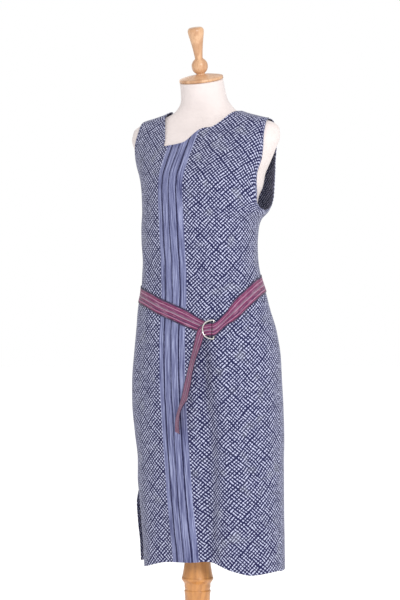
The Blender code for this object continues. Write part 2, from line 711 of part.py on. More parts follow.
def build_belt(cloth, material):
    """The belt: a tab folded round the two rings, the band round the dress, the hanging end."""
    skin = skin_tree(cloth)
    half = BELT_THICKNESS / 2
    low = BELT_GAP + half
    wire = RING_WIRE / 2
    inner_bar = BELT_GAP + BELT_THICKNESS + LAYER_GAP + wire
    outer_bar = inner_bar + RING_WIRE + LAYER_GAP
    clear = wire + LAYER_GAP + half
    high = outer_bar + clear
    radius = tie_radius()
    stations = []

    def slope_at(angle):
        rise = belt_height(angle + 1.0) - belt_height(angle - 1.0)
        return rise / (radius * math.radians(2.0))

    def add_upright(angle, lift, normal=None):
        """A station whose cross line is upright on the dress."""
        middle, outward = belt_place(angle, belt_height(angle), lift)
        away = abs((angle - TIE_ANGLE + 180.0) % 360.0 - 180.0)
        wide = TIE_WIDTH + (BELT_WIDTH - TIE_WIDTH) * min(max((away - 11.0) / 12.0, 0.0), 1.0)
        tall = wide / 2 * min(math.hypot(1.0, slope_at(angle)), 1.0 + 0.02 * max(away - 11.0, 0.0))
        above, _ = belt_place(angle, belt_height(angle) + tall, lift)
        below, _ = belt_place(angle, belt_height(angle) - tall, lift)
        follow = min(max((away - 9.5) / 6.0, 0.0), 1.0)
        above = above * follow + (middle + tie_up() * tall) * (1.0 - follow)
        below = below * follow + (middle - tie_up() * tall) * (1.0 - follow)
        stations.append(((below, middle, above), outward if normal is None else normal))

    def add_resting(angle):
        """A station that lies on the dress, each of its points at the belt's gap."""
        add_upright(angle, low)
        across, outward = stations.pop()
        settled = []
        for point in across:
            inside = point - outward * half
            near, face_normal, _, _ = skin.find_nearest(inside)
            height = (inside - near).dot(face_normal)
            settled.append(point + outward * (BELT_GAP - height))
        stations.append((settled, outward * -1.0))

    def angle_at(along):
        return TIE_ANGLE + math.degrees(along / radius)

    def around(along, lift, tangent_share, normal_share):
        """A station near the bars, its face turned between outwards and along the belt."""
        angle = angle_at(along)
        a, outward = belt_place(angle, belt_height(angle), 0.0)
        b, _ = belt_place(angle + 1.0, belt_height(angle), 0.0)
        tangent = (b - a).normalized()
        normal = (outward * normal_share + tangent * tangent_share).normalized()
        add_upright(angle, lift, normal)

    over = low + BELT_THICKNESS + LAYER_GAP
    add_upright(angle_at(0.036), over + 0.0002, None)
    add_upright(angle_at(0.026), over + 0.0004, None)
    around(0.018, over + 0.0016, 0.25, 1.0)
    around(0.0105, (over + high) / 2 + 0.0012, 0.6, 1.0)
    around(0.0045, high - 0.0006, 0.3, 1.0)
    around(0.0, high, 0.0, 1.0)
    around(-clear * 0.707, outer_bar + clear * 0.707, -1.0, 1.0)
    around(-clear, outer_bar, -1.0, 0.0)
    around(-clear, inner_bar, -1.0, 0.0)
    around(-clear * 0.707, inner_bar - clear * 0.707, -1.0, -1.0)
    around(0.0, low, 0.0, -1.0)
    around(0.012, low, 0.0, -1.0)
    around(0.022, low, 0.0, -1.0)

    first = angle_at(0.033)
    last = angle_at(-0.043) + 360.0
    stops = [math.degrees(math.asin(side)) for side in front_sides()]
    stops = stops[1:-1] + [180.0 - math.degrees(math.asin(side)) for side in back_sides()]
    stops = sorted(stop % 360.0 for stop in stops)
    stops = [stop for stop in stops + [stop + 360.0 for stop in stops] if first < stop < last]
    for angle in stops:
        add_resting(angle)
    fold = 0.0080
    rise = (inner_bar + wire + LAYER_GAP + half) - low
    upper = low + rise
    around(-0.034, low, 0.0, -1.0)
    around(-0.026, low, 0.0, -1.0)
    around(-0.016, low, 0.0, -1.0)
    around(-fold, low, 0.0, -1.0)
    around(-fold + rise / 2 * 0.707, low + rise / 2 * 0.293, 1.0, -1.0)
    around(-fold + rise / 2, low + rise / 2, 1.0, 0.0)
    around(-fold + rise / 2 * 0.707, low + rise / 2 * 1.707, 1.0, 1.0)
    around(-fold, upper, 0.0, 1.0)

    for row in TAIL:
        values = dict(zip(TAIL_COLUMNS, row))
        middle, outward = tie_place(values["along"], values["down"], values["lift"])
        right, _ = tie_place(values["along"] + 0.002, values["down"], values["lift"])
        tangent = (right - middle).normalized()
        up = outward.cross(tangent).normalized()
        turn = math.radians(values["turn"])
        twist = math.radians(values["twist"])
        flat = up * math.cos(turn) - tangent * math.sin(turn)
        cross = flat * math.cos(twist) + outward * math.sin(twist)
        normal = outward * math.cos(twist) - flat * math.sin(twist)
        half_wide = values["wide"] / 2 * cross
        stations.append(((middle - half_wide, middle, middle + half_wide), normal))
    return close_outwards(ribbon("belt_strap", stations, BELT_THICKNESS, material))


def build_ring(name, bar_lift, arc_lift, material):
    """A D of round wire: a straight bar in the belt's tab and an arc to its right-hand side."""
    bar, outward = tie_place(0.0, 0.0, bar_lift)
    tip, _ = tie_place(-RING_DEPTH, 0.0, arc_lift)
    depth = tip - bar
    reach = depth.length
    depth.normalize()
    up = tie_up()
    depth = (depth - up * depth.dot(up)).normalized()
    outline = []
    corner = 0.0027
    for share in spread(-1.0, 1.0, 6):
        outline.append((0.0, share * (RING_HALF_HEIGHT - corner)))
    for turn in spread(0.0, 180.0, 21):
        sine = math.sin(math.radians(turn))
        cosine = math.cos(math.radians(turn))
        across = RING_HALF_HEIGHT * math.copysign(abs(cosine) ** 0.85, cosine)
        outline.append((corner * 0.6 + (reach - corner * 0.6) * sine**0.9, across))
    path = [bar + depth * along + up * across for along, across in outline]
    sides = 8
    plane = depth.cross(up).normalized()
    points = []
    count = len(path)
    for k, middle in enumerate(path):
        before = path[k - 1]
        after = path[(k + 1) % count]
        tangent = (after - before).normalized()
        inward = plane.cross(tangent).normalized()
        for side in range(sides):
            turn = 2 * math.pi * side / sides
            away = inward * math.cos(turn) + plane * math.sin(turn)
            points.append(middle + away * RING_WIRE / 2)
    faces = []
    for k in range(count):
        after = (k + 1) % count
        for side in range(sides):
            beside = (side + 1) % sides
            faces.append((k * sides + side, k * sides + beside, after * sides + beside, after * sides + side))
    return close_outwards(add_mesh(name, points, faces, material))


def close_outwards(obj):
    """Turns the faces of a closed mesh outwards when they point in."""
    volume = 0.0
    for polygon in obj.data.polygons:
        corners = [obj.data.vertices[i].co for i in polygon.vertices]
        for k in range(1, len(corners) - 1):
            volume += corners[0].dot(corners[k].cross(corners[k + 1]))
    if volume < 0:
        obj.data.flip_normals()
    return obj


def build_torso(material):
    """The limbless torso and neck: superellipse sections, the neck top tilted forward."""
    levels = column(FORM_LEVELS, FORM_COLUMNS, "z")
    heights = []
    for low, high in zip(levels, levels[1:]):
        heights.append(low)
        if high - low > 0.040:
            heights.append((low + high) / 2)
    heights.append(levels[-1])
    tilt = math.tan(math.radians(NECK_TILT))
    points = []
    for z in heights:
        width = form_level("half_width", z)
        centre_y = form_level("centre_y", z)
        lean = min(max((z - 1.366) / (NECK_TOP_Z - 1.366), 0.0), 1.0)
        for k in range(FORM_SIDES):
            turn = 2 * math.pi * k / FORM_SIDES
            sine = math.sin(turn)
            cosine = math.cos(turn)
            depth = form_level("front", z) if cosine > 0 else form_level("back", z)
            round_power = 2.0 / FORM_POWER
            x = form_level("centre_x", z) + width * math.copysign(abs(sine) ** round_power, sine)
            y = centre_y - depth * math.copysign(abs(cosine) ** round_power, cosine)
            points.append(Vector((x, y, z + tilt * (y - centre_y) * lean)))
    faces = []
    for row in range(len(heights) - 1):
        for k in range(FORM_SIDES):
            beside = (k + 1) % FORM_SIDES
            a = row * FORM_SIDES
            b = a + FORM_SIDES
            faces.append((a + k, a + beside, b + beside, b + k))
    faces.append(tuple(range(FORM_SIDES - 1, -1, -1)))
    top = (len(heights) - 1) * FORM_SIDES
    faces.append(tuple(top + k for k in range(FORM_SIDES)))
    return close_outwards(add_mesh("form_torso", points, faces, material))


def turned(name, profile, frame, material):
    """A solid turned from a profile that starts and ends on its axis."""
    points = []
    rings = []
    for along, radius in profile:
        if radius == 0.0:
            rings.append([len(points)])
            points.append(frame @ Vector((0.0, 0.0, along)))
            continue
        ring = []
        for k in range(TURNED_SIDES):
            turn = 2 * math.pi * k / TURNED_SIDES
            ring.append(len(points))
            points.append(frame @ Vector((radius * math.cos(turn), radius * math.sin(turn), along)))
        rings.append(ring)
    faces = []
    for low, high in zip(rings, rings[1:]):
        for k in range(TURNED_SIDES):
            beside = (k + 1) % TURNED_SIDES
            if len(low) == 1:
                faces.append((low[0], high[beside], high[k]))
            elif len(high) == 1:
                faces.append((low[k], low[beside], high[0]))
            else:
                faces.append((low[k], low[beside], high[beside], high[k]))
    return close_outwards(add_mesh(name, points, faces, material))


def build_stand(wood):
    """The base, the post up to the torso, and the neck knob on its tilted top."""
    turned("base", BASE_PROFILE, Matrix.Identity(4), wood)
    top = TORSO_BOTTOM_Z - FIT_GAP
    start = BASE_HEIGHT + FIT_GAP
    profile = list(POST_PROFILE) + [(top - start, 0.0270), (top - start, 0.0)]
    turned("post", profile, Matrix.Translation((0.0, 0.0, start)), wood)
    tilt = Matrix.Rotation(math.radians(NECK_TILT), 4, "X")
    seat = Vector((0.0, form_level("centre_y", NECK_TOP_Z), NECK_TOP_Z))
    axis = tilt @ Vector((0.0, 0.0, 1.0))
    frame = Matrix.Translation(seat + axis * FIT_GAP) @ tilt
    turned("neck_knob", KNOB_PROFILE, frame, wood)


def main():
    for obj in list(bpy.data.objects):
        bpy.data.objects.remove(obj, do_unlink=True)
    paint = {name: make_material(name) for name in MATERIALS}
    front = build_front(paint["batik_cloth"])
    back = build_back(paint["batik_cloth"])
    build_belt([front, back], paint["belt_weave"])
    wire = RING_WIRE / 2
    inner_bar = BELT_GAP + BELT_THICKNESS + LAYER_GAP + wire
    outer_bar = inner_bar + RING_WIRE + LAYER_GAP
    outer_arc = inner_bar + wire + LAYER_GAP + BELT_THICKNESS + LAYER_GAP + wire
    build_ring("d_ring_inner", inner_bar, inner_bar, paint["ring_steel"])
    build_ring("d_ring_outer", outer_bar, outer_arc + 0.0010, paint["ring_steel"])
    build_torso(paint["form_cover"])
    build_stand(paint["turned_wood"])


main()
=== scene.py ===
"""Sleeveless batik sheath dress with a woven belt, on a jersey-covered dress form and turned stand.

Metres, Z up. The dress faces -Y and the origin is on the floor, on the axis of the post.
"""

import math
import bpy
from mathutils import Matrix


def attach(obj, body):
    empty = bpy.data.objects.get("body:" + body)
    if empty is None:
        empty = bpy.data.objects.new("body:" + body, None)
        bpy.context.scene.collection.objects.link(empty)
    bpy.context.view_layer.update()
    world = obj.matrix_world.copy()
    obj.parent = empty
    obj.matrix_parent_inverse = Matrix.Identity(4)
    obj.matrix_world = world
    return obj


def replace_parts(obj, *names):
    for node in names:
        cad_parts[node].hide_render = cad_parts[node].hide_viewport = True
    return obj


bl_info = {
    "name": "Batik Sheath Dress on a Dress Form",
    "version": (1, 0, 0),
    "blender": (4, 5, 0),
    "location": "3D View > Sidebar > Sheath Dress",
    "description": "Builds a belted batik sheath dress on a turned wooden dress form",
    "category": "Object",
}

import bpy
import numpy as np
from bpy.props import FloatProperty, FloatVectorProperty, IntProperty, PointerProperty
from bpy.types import Operator, Panel, PropertyGroup
from mathutils import Matrix, Vector
from mathutils.bvhtree import BVHTree

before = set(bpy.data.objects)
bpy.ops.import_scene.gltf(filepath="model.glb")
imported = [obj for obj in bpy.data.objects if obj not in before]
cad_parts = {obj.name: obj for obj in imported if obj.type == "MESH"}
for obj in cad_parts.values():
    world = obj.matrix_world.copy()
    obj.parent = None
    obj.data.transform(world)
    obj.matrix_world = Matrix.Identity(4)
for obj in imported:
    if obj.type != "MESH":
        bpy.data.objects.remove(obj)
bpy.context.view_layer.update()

# Cut of the dress
SEAM_GAP = 0.0003
UNDERARM_Z = 1.131
SLIT_TOP_Z = 0.500
SLIT_REACH = -0.55
STRAP_STEPS = 8
LEFT_STEPS = 9
BACK_SHOULDER_STEPS = 8
BACK_NECK_STEPS = 8
LAST_FIXED_ROW = 0.842
PLAIN_HEM = 0.300
NECK_POINT_X = 0.0930
BACK_NECK_DROP = 0.020

# Belt and rings
BELT_WIDTH = 0.036
TIE_WIDTH = 0.030
BELT_THICKNESS = 0.0015
BELT_GAP = 0.0007
LAYER_GAP = 0.0004
# Sine of the 45 degrees at which the belt is halfway round a bar.
SLANT = 0.707
TIE_ANGLE = 29.0
# Degrees on each side of the tie where the belt is gathered to the rings' width.
TIE_REACH = 11.0
TIE_HEIGHT = 0.8585
RING_WIRE = 0.0034
RING_HALF_HEIGHT = 0.0212
RING_DEPTH = 0.024
RING_CORNER = 0.0027
RING_SIDES = 18
# The outer ring's arc stands this much further out than the belt under it needs.
ARC_EASE = 0.0010

# Form and stand
NECK_TILT = 14.0
NECK_FOOT_Z = 1.366
NECK_TOP_Z = 1.4365
TORSO_BOTTOM_Z = 0.690
FORM_GIRTH = 0.9
POST_TOP_RADIUS = 0.0270
GRAIN_STRETCH = 0.09
# A turning's corner bends by more than this many degrees and is broken back by this much.
CORNER_TURN = 38.0
CORNER_TRIM = 0.0010
# Longest straight piece along a turning.
LATHE_STEP = 0.012
FIT_GAP = 0.0003
BASE_HEIGHT = 0.026

# The dress at its outer face, level by level; right and left are the wearer's.
DRESS_COLUMNS = ("z", "right", "left", "front", "back", "centre_y", "power")
DRESS_LEVELS = (
    (0.2800, 0.1600, 0.1980, 0.1040, 0.1260, 0.0360, 2.20),
    (0.3450, 0.1602, 0.1978, 0.1070, 0.1260, 0.0350, 2.20),
    (0.4570, 0.1630, 0.1970, 0.1150, 0.1270, 0.0320, 2.20),
    (0.5500, 0.1605, 0.1975, 0.1190, 0.1270, 0.0300, 2.20),
    (0.6060, 0.1666, 0.1994, 0.1210, 0.1270, 0.0280, 2.20),
    (0.6810, 0.1728, 0.1984, 0.1220, 0.1270, 0.0250, 2.20),
    (0.7370, 0.1713, 0.1967, 0.1210, 0.1250, 0.0220, 2.20),
    (0.7930, 0.1652, 0.1948, 0.1190, 0.1210, 0.0200, 2.20),
    (0.8490, 0.1583, 0.1867, 0.1160, 0.1140, 0.0180, 2.20),
    (0.9050, 0.1540, 0.1690, 0.1110, 0.1060, 0.0180, 2.20),
    (0.9420, 0.1457, 0.1583, 0.1080, 0.1030, 0.0180, 2.20),
    (0.9800, 0.1425, 0.1445, 0.1090, 0.1030, 0.0180, 2.20),
    (1.0170, 0.1410, 0.1390, 0.1120, 0.1060, 0.0170, 2.10),
    (1.0540, 0.1420, 0.1372, 0.1160, 0.1090, 0.0160, 2.10),
    (1.0920, 0.1425, 0.1395, 0.1210, 0.1120, 0.0170, 2.10),
    (1.1100, 0.1420, 0.1460, 0.1235, 0.1135, 0.0175, 2.05),
    (1.1310, 0.1415, 0.1680, 0.1260, 0.1150, 0.0180, 2.00),
    (1.1660, 0.1425, 0.1810, 0.1310, 0.1170, 0.0200, 2.00),
    (1.1900, 0.1455, 0.1820, 0.1330, 0.1180, 0.0220, 2.00),
    (1.2150, 0.1545, 0.1815, 0.1300, 0.1180, 0.0260, 2.00),
    (1.2420, 0.1690, 0.1815, 0.1180, 0.1150, 0.0310, 2.00),
    (1.2800, 0.1845, 0.1900, 0.0950, 0.1050, 0.0370, 2.00),
    (1.3050, 0.1930, 0.1960, 0.0790, 0.0940, 0.0400, 2.00),
    (1.3255, 0.1900, 0.1900, 0.0660, 0.0810, 0.0430, 2.00),
    (1.3360, 0.1810, 0.1810, 0.0600, 0.0730, 0.0440, 2.00),
    (1.3450, 0.1630, 0.1630, 0.0560, 0.0670, 0.0450, 2.00),
    (1.3520, 0.1350, 0.1350, 0.0540, 0.0620, 0.0450, 2.00),
    (1.3590, 0.1080, 0.1080, 0.0540, 0.0590, 0.0440, 2.00),
    (1.3660, 0.0890, 0.0890, 0.0540, 0.0580, 0.0430, 2.00),
    (1.3780, 0.0700, 0.0700, 0.0540, 0.0570, 0.0400, 2.00),
)

# Armhole edges' distance from the middle, from the shoulder (0) to the underarm (1).
ARMHOLE_COLUMNS = ("share", "front_right", "front_left", "back_right", "back_left")
ARMHOLE = (
    (0.0, 0.1630, 0.1630, 0.1630, 0.1630),
    (0.12, 0.1615, 0.1660, 0.1620, 0.1620),
    (0.25, 0.1600, 0.1690, 0.1600, 0.1610),
    (0.4, 0.1610, 0.1715, 0.1580, 0.1590),
    (0.5, 0.1650, 0.1725, 0.1570, 0.1590),
    (0.6, 0.1620, 0.1715, 0.1560, 0.1600),
    (0.75, 0.1460, 0.1675, 0.1500, 0.1640),
    (0.88, 0.1370, 0.1690, 0.1370, 0.1650),
    (0.95, 0.1350, 0.1670, 0.1350, 0.1640),
    (1.0, 0.1415, 0.1680, 0.1415, 0.1680),
)

# Front neck edge from its squared corner on the right to the left neck point.
NECKLINE_COLUMNS = ("x", "z")
NECKLINE = (
    (-0.0620, 1.2810),
    (-0.0480, 1.2825),
    (-0.0330, 1.2845),
    (-0.0200, 1.2870),
    (-0.0080, 1.2910),
    (0.0005, 1.2990),
    (0.0100, 1.3110),
    (0.0190, 1.3190),
    (0.0315, 1.3235),
    (0.0470, 1.3245),
    (0.0600, 1.3310),
    (0.0740, 1.3430),
    (0.0850, 1.3545),
    (0.0930, 1.3645),
)

# Inner edge of the right shoulder strap, from the shoulder down to the corner.
STRAP_COLUMNS = ("share", "x")
STRAP_EDGE = (
    (0.0, -0.0890),
    (0.35, -0.0880),
    (0.70, -0.0780),
    (1.0, -0.0620),
)

# Height of the hem round the front and the back, by the sine of the angle from the middle.
HEM_COLUMNS = ("side", "front_z", "back_z")
HEM = (
    (-1.0, 0.291, 0.300),
    (-0.7, 0.300, 0.304),
    (-0.3, 0.3155, 0.308),
    (0.1, 0.319, 0.310),
    (0.3, 0.321, 0.308),
    (0.45, 0.3155, 0.306),
    (0.65, 0.302, 0.304),
    (0.8, 0.294, 0.301),
    (1.0, 0.300, 0.298),
)

# How the open slit's two edges stand at a drop below its top; it is in the right side seam.
SLIT_COLUMNS = ("drop", "front_inward", "front_backward", "back_outward", "back_forward")
SLIT = (
    (0.000, 0.0000, 0.0000, 0.0000, 0.0000),
    (0.012, 0.0020, 0.0000, 0.0035, 0.0000),
    (0.032, 0.0055, 0.0010, 0.0110, 0.0045),
    (0.065, 0.0080, 0.0030, 0.0135, 0.0100),
    (0.110, 0.0100, 0.0050, 0.0125, 0.0095),
    (0.155, 0.0120, 0.0060, 0.0100, 0.0075),
    (0.215, 0.0135, 0.0070, 0.0085, 0.0060),
)

# Soft folds: where each lies at the top and at the hem, its width and how far it stands out.
FOLD_COLUMNS = ("face", "side_top", "side_hem", "width", "z_top", "stand_mid", "stand_hem")
FOLDS = (
    ("front", 0.26, 0.33, 0.13, 0.84, -0.006, -0.013),
    ("front", 0.52, 0.62, 0.17, 0.86, 0.004, 0.011),
    ("front", -0.62, -0.66, 0.20, 0.80, 0.003, 0.005),
    ("front", -0.28, -0.22, 0.14, 0.74, -0.001, -0.004),
    ("back", -0.35, -0.42, 0.16, 0.84, -0.004, -0.009),
    ("back", 0.02, 0.03, 0.20, 0.80, 0.003, 0.008),
    ("back", 0.42, 0.48, 0.16, 0.84, -0.004, -0.009),
)

# The torso and neck, level by level.
FORM_COLUMNS = ("z", "centre_x", "half_width", "front", "back", "centre_y")
FORM_LEVELS = (
    (0.6900, 0.0000, 0.1180, 0.0740, 0.0860, 0.0120),
    (0.6925, 0.0000, 0.1300, 0.0800, 0.0940, 0.0120),
    (0.7000, 0.0000, 0.1390, 0.0860, 0.1020, 0.0130),
    (0.7300, 0.0000, 0.1520, 0.0940, 0.1120, 0.0160),
    (0.7650, 0.0000, 0.1570, 0.0960, 0.1130, 0.0160),
    (0.8200, 0.0000, 0.1500, 0.0940, 0.1050, 0.0150),
    (0.8900, 0.0000, 0.1340, 0.0880, 0.0930, 0.0150),
    (0.9650, 0.0000, 0.1200, 0.0850, 0.0840, 0.0150),
    (1.0300, 0.0000, 0.1250, 0.0920, 0.0880, 0.0150),
    (1.1000, 0.0030, 0.1310, 0.1060, 0.0960, 0.0170),
    (1.1570, 0.0040, 0.1345, 0.1240, 0.1030, 0.0200),
    (1.1900, 0.0040, 0.1460, 0.1295, 0.1100, 0.0220),
    (1.2150, 0.0030, 0.1500, 0.1265, 0.1130, 0.0260),
    (1.2420, 0.0020, 0.1620, 0.1135, 0.1095, 0.0310),
    (1.2620, 0.0010, 0.1720, 0.1010, 0.1055, 0.0340),
    (1.2800, -0.0015, 0.1820, 0.0910, 0.1000, 0.0370),
    (1.3030, -0.0020, 0.1915, 0.0755, 0.0900, 0.0400),
    (1.3222, -0.0020, 0.1895, 0.0610, 0.0755, 0.0430),
    (1.3323, -0.0010, 0.1790, 0.0545, 0.0670, 0.0440),
    (1.3408, 0.0000, 0.1590, 0.0505, 0.0600, 0.0450),
    (1.3475, 0.0000, 0.1300, 0.0485, 0.0550, 0.0450),
    (1.3538, 0.0000, 0.1025, 0.0485, 0.0515, 0.0440),
    (1.3610, 0.0000, 0.0835, 0.0485, 0.0505, 0.0430),
    (1.3750, 0.0000, 0.0665, 0.0505, 0.0535, 0.0400),
    (1.3900, 0.0000, 0.0560, 0.0505, 0.0525, 0.0340),
    (1.4100, 0.0000, 0.0525, 0.0505, 0.0510, 0.0280),
    (1.4300, 0.0000, 0.0510, 0.0500, 0.0500, 0.0215),
    (1.4365, 0.0000, 0.0505, 0.0500, 0.0500, 0.0190),
)

# Height of the belt's middle line round the body, by angle from the front middle.
BELT_PATH_COLUMNS = ("angle", "z")
BELT_PATH = (
    (-180.0, 0.966),
    (-150.0, 0.963),
    (-120.0, 0.956),
    (-90.0, 0.944),
    (-60.0, 0.934),
    (-40.0, 0.926),
    (-20.0, 0.910),
    (0.0, 0.8915),
    (8.0, 0.8820),
    (14.0, 0.8740),
    (18.5, 0.8680),
    (24.0, 0.8610),
    (27.0, 0.8585),
    (29.0, 0.8585),
    (31.0, 0.8615),
    (34.0, 0.8690),
    (38.0, 0.8785),
    (45.0, 0.8935),
    (60.0, 0.9220),
    (75.0, 0.9420),
    (90.0, 0.9550),
    (120.0, 0.965),
    (150.0, 0.968),
    (180.0, 0.966),
)

# The hanging end: position from the tie, lift off the dress, turn of the band, its twist and width.
TAIL_COLUMNS = ("along", "down", "lift", "turn", "twist", "wide")
TAIL = (
    (-0.0150, -0.001, 0.0073, 4.0, 0.0, 0.028),
    (-0.0250, -0.004, 0.0075, 14.0, 0.0, 0.028),
    (-0.0300, -0.012, 0.0092, 34.0, -10.0, 0.028),
    (-0.0335, -0.027, 0.0125, 54.0, -30.0, 0.030),
    (-0.0390, -0.048, 0.0160, 66.0, -44.0, 0.033),
    (-0.0460, -0.074, 0.0175, 74.0, -50.0, 0.035),
    (-0.0520, -0.100, 0.0175, 78.0, -50.0, 0.036),
    (-0.0580, -0.128, 0.0170, 78.0, -46.0, 0.036),
    (-0.0640, -0.154, 0.0175, 72.0, -50.0, 0.036),
    (-0.0730, -0.180, 0.0185, 74.0, -58.0, 0.036),
    (-0.0790, -0.208, 0.0175, 82.0, -50.0, 0.036),
    (-0.0800, -0.236, 0.0165, 86.0, -46.0, 0.036),
)

FRONT_SHARES = (0.0, 0.09, 0.19, 0.30, 0.42, 0.54, 0.66, 0.77, 0.88, 0.95, 1.0)
BACK_SHARES = (0.0, 0.07, 0.14, 0.22, 0.30, 0.39, 0.48, 0.57, 0.66, 0.77, 0.88, 0.95, 1.0)

# Turned profiles: distance along the axis and radius.
KNOB_PROFILE = (
    (0.0000, 0.0000),
    (0.0000, 0.0480),
    (0.0015, 0.0512),
    (0.0045, 0.0518),
    (0.0065, 0.0500),
    (0.0095, 0.0370),
    (0.0125, 0.0200),
    (0.0140, 0.0105),
    (0.0165, 0.0100),
    (0.0190, 0.0135),
    (0.0255, 0.0178),
    (0.0330, 0.0190),
    (0.0405, 0.0178),
    (0.0470, 0.0135),
    (0.0500, 0.0098),
    (0.0530, 0.0092),
    (0.0700, 0.0112),
    (0.0900, 0.0145),
    (0.1060, 0.0178),
    (0.1150, 0.0190),
    (0.1205, 0.0178),
    (0.1235, 0.0130),
    (0.1240, 0.0000),
)
POST_PROFILE = (
    (0.0000, 0.0000),
    (0.0000, 0.0440),
    (0.0060, 0.0460),
    (0.0140, 0.0440),
    (0.0260, 0.0360),
    (0.0600, 0.0300),
    (0.1300, 0.0285),
    (0.1900, 0.0290),
    (0.2100, 0.0300),
    (0.2180, 0.0312),
    (0.2205, 0.0290),
    (0.2270, 0.0305),
    (0.2350, 0.0310),
    (0.2420, 0.0355),
    (0.2455, 0.0372),
    (0.2490, 0.0368),
    (0.2530, 0.0355),
    (0.2850, 0.0305),
    (0.3500, 0.0275),
    (0.5000, 0.0260),
    (0.6200, 0.0270),
)
BASE_PROFILE = (
    (0.0000, 0.0000),
    (0.0000, 0.1500),
    (0.0030, 0.1550),
    (0.0130, 0.1550),
    (0.0190, 0.1520),
    (0.0230, 0.1420),
    (0.0260, 0.1300),
    (0.0260, 0.0000),
)
# Creases: ends by arc from the middle line and height, then width and how far each stands.
CREASE_COLUMNS = ("face", "arc_a", "z_a", "arc_b", "z_b", "width", "stand")
CREASES = (
    ("front", 0.060, 0.985, 0.092, 0.905, 0.011, -0.0022),
    ("front", 0.102, 0.990, 0.112, 0.915, 0.010, 0.0020),
    ("front", 0.135, 1.030, 0.125, 0.930, 0.012, -0.0024),
    ("front", 0.020, 0.965, 0.055, 0.900, 0.012, 0.0016),
    ("front", -0.045, 1.000, -0.020, 0.925, 0.014, 0.0018),
    ("front", -0.100, 1.030, -0.085, 0.945, 0.013, -0.0020),
    ("front", -0.150, 1.075, -0.110, 0.990, 0.014, 0.0022),
    ("front", 0.150, 1.135, 0.105, 1.060, 0.013, 0.0026),
    ("front", 0.165, 1.100, 0.130, 1.020, 0.011, 0.0018),
    ("front", 0.130, 1.255, 0.165, 1.195, 0.012, 0.0016),
    ("front", 0.060, 1.240, 0.110, 1.180, 0.016, 0.0012),
    ("front", -0.110, 1.255, -0.140, 1.180, 0.012, 0.0014),
    ("front", -0.060, 0.880, -0.075, 0.640, 0.016, 0.0020),
    ("front", -0.120, 0.880, -0.135, 0.700, 0.014, -0.0022),
    ("front", 0.056, 0.790, 0.046, 0.310, 0.021, -0.0105),
    ("front", 0.112, 0.790, 0.120, 0.310, 0.026, 0.0050),
    ("front", 0.066, 0.828, 0.058, 0.700, 0.011, -0.0045),
    ("front", 0.096, 0.828, 0.112, 0.700, 0.016, 0.0030),
    ("front", 0.165, 0.880, 0.195, 0.650, 0.014, -0.0022),
    ("front", 0.190, 0.560, 0.205, 0.320, 0.015, 0.0024),
    ("front", 0.150, 0.470, 0.158, 0.300, 0.013, -0.0020),
    ("front", -0.150, 0.470, -0.155, 0.300, 0.015, 0.0020),
    ("front", -0.060, 0.430, -0.055, 0.305, 0.014, -0.0016),
    ("back", -0.045, 1.010, -0.040, 0.985, 0.010, -0.0018),
    ("back", -0.075, 1.060, -0.060, 0.990, 0.012, 0.0022),
    ("back", -0.020, 1.080, -0.015, 0.990, 0.013, -0.0024),
    ("back", 0.030, 1.070, 0.022, 0.990, 0.012, 0.0022),
    ("back", 0.075, 1.050, 0.065, 0.990, 0.012, -0.0020),
    ("back", 0.120, 1.100, 0.105, 0.990, 0.014, 0.0020),
    ("back", -0.130, 1.150, -0.115, 1.000, 0.014, 0.0020),
    ("back", 0.100, 1.290, 0.140, 1.200, 0.015, 0.0014),
    ("back", -0.100, 1.290, -0.135, 1.200, 0.015, 0.0014),
    ("back", -0.110, 0.930, -0.125, 0.640, 0.017, 0.0024),
    ("back", -0.060, 0.930, -0.070, 0.740, 0.014, -0.0022),
    ("back", -0.010, 0.940, -0.012, 0.700, 0.015, 0.0020),
    ("back", 0.050, 0.930, 0.060, 0.690, 0.015, -0.0022),
    ("back", 0.115, 0.930, 0.140, 0.650, 0.017, 0.0024),
    ("back", 0.175, 0.900, 0.190, 0.620, 0.014, -0.0020),
    ("back", -0.170, 0.520, -0.178, 0.310, 0.014, 0.0022),
    ("back", 0.090, 0.480, 0.095, 0.310, 0.014, 0.0020),
    ("back", 0.180, 0.470, 0.186, 0.300, 0.014, -0.0020),
)
# Sideways place of the striped band's middle down the front.
BAND_COLUMNS = ("z", "middle")
BAND = (
    (0.290, 0.0045),
    (0.420, -0.0030),
    (0.600, -0.0110),
    (0.800, -0.0160),
    (1.000, -0.0165),
    (1.300, -0.0165),
)
BELT_STRIPES = (
    (0.00, "navy"),
    (0.05, "navy"),
    (0.08, "maroon"),
    (0.15, "red"),
    (0.19, "pink"),
    (0.22, "maroon"),
    (0.30, "plum"),
    (0.34, "red"),
    (0.40, "maroon"),
    (0.44, "pink"),
    (0.49, "sage"),
    (0.53, "sage"),
    (0.58, "red"),
    (0.64, "plum"),
    (0.70, "red"),
    (0.75, "pink"),
    (0.78, "maroon"),
    (0.86, "red"),
    (0.92, "plum"),
    (0.95, "navy"),
    (1.00, "navy"),
)
# Fineness: steps to each table row, rows below the underarm, points across the belt.
FINE = 3
LOWER_ROWS = 132
ACROSS = 9
# Heights between which lengths round the body are measured, and where lengths down it start.
ARC_SPAN = (0.27, 1.38)
LENGTH_START_Z = 1.0
EDGE_ROUND = 0.0005
SHOULDER_Z = 1.3
# A crease fades out past its ends and bends sideways by these shares of its length.
CREASE_FADE = 0.3
CREASE_BEND = 0.05
# Half the height of the stretch that the belt holds still.
BELT_HOLD = 0.034
# The back's print lies this far along the cloth from the front's.
BACK_PRINT_SHIFT = 0.9
# How far a stitch's middle lies off the cloth, as a share of the thread's width.
STITCH_LIFT = 0.15
# The belt's cross lines that the stitches of its sewn tab follow.
TAB_ROWS = (1, 2)
# Batik: smallest and largest dot, and half the lattice line's width as a share of a repeat.
DOT_RADII = (0.00138, 0.0021)
LATTICE_SHARE = 0.009
YARN_PITCH = 0.0007
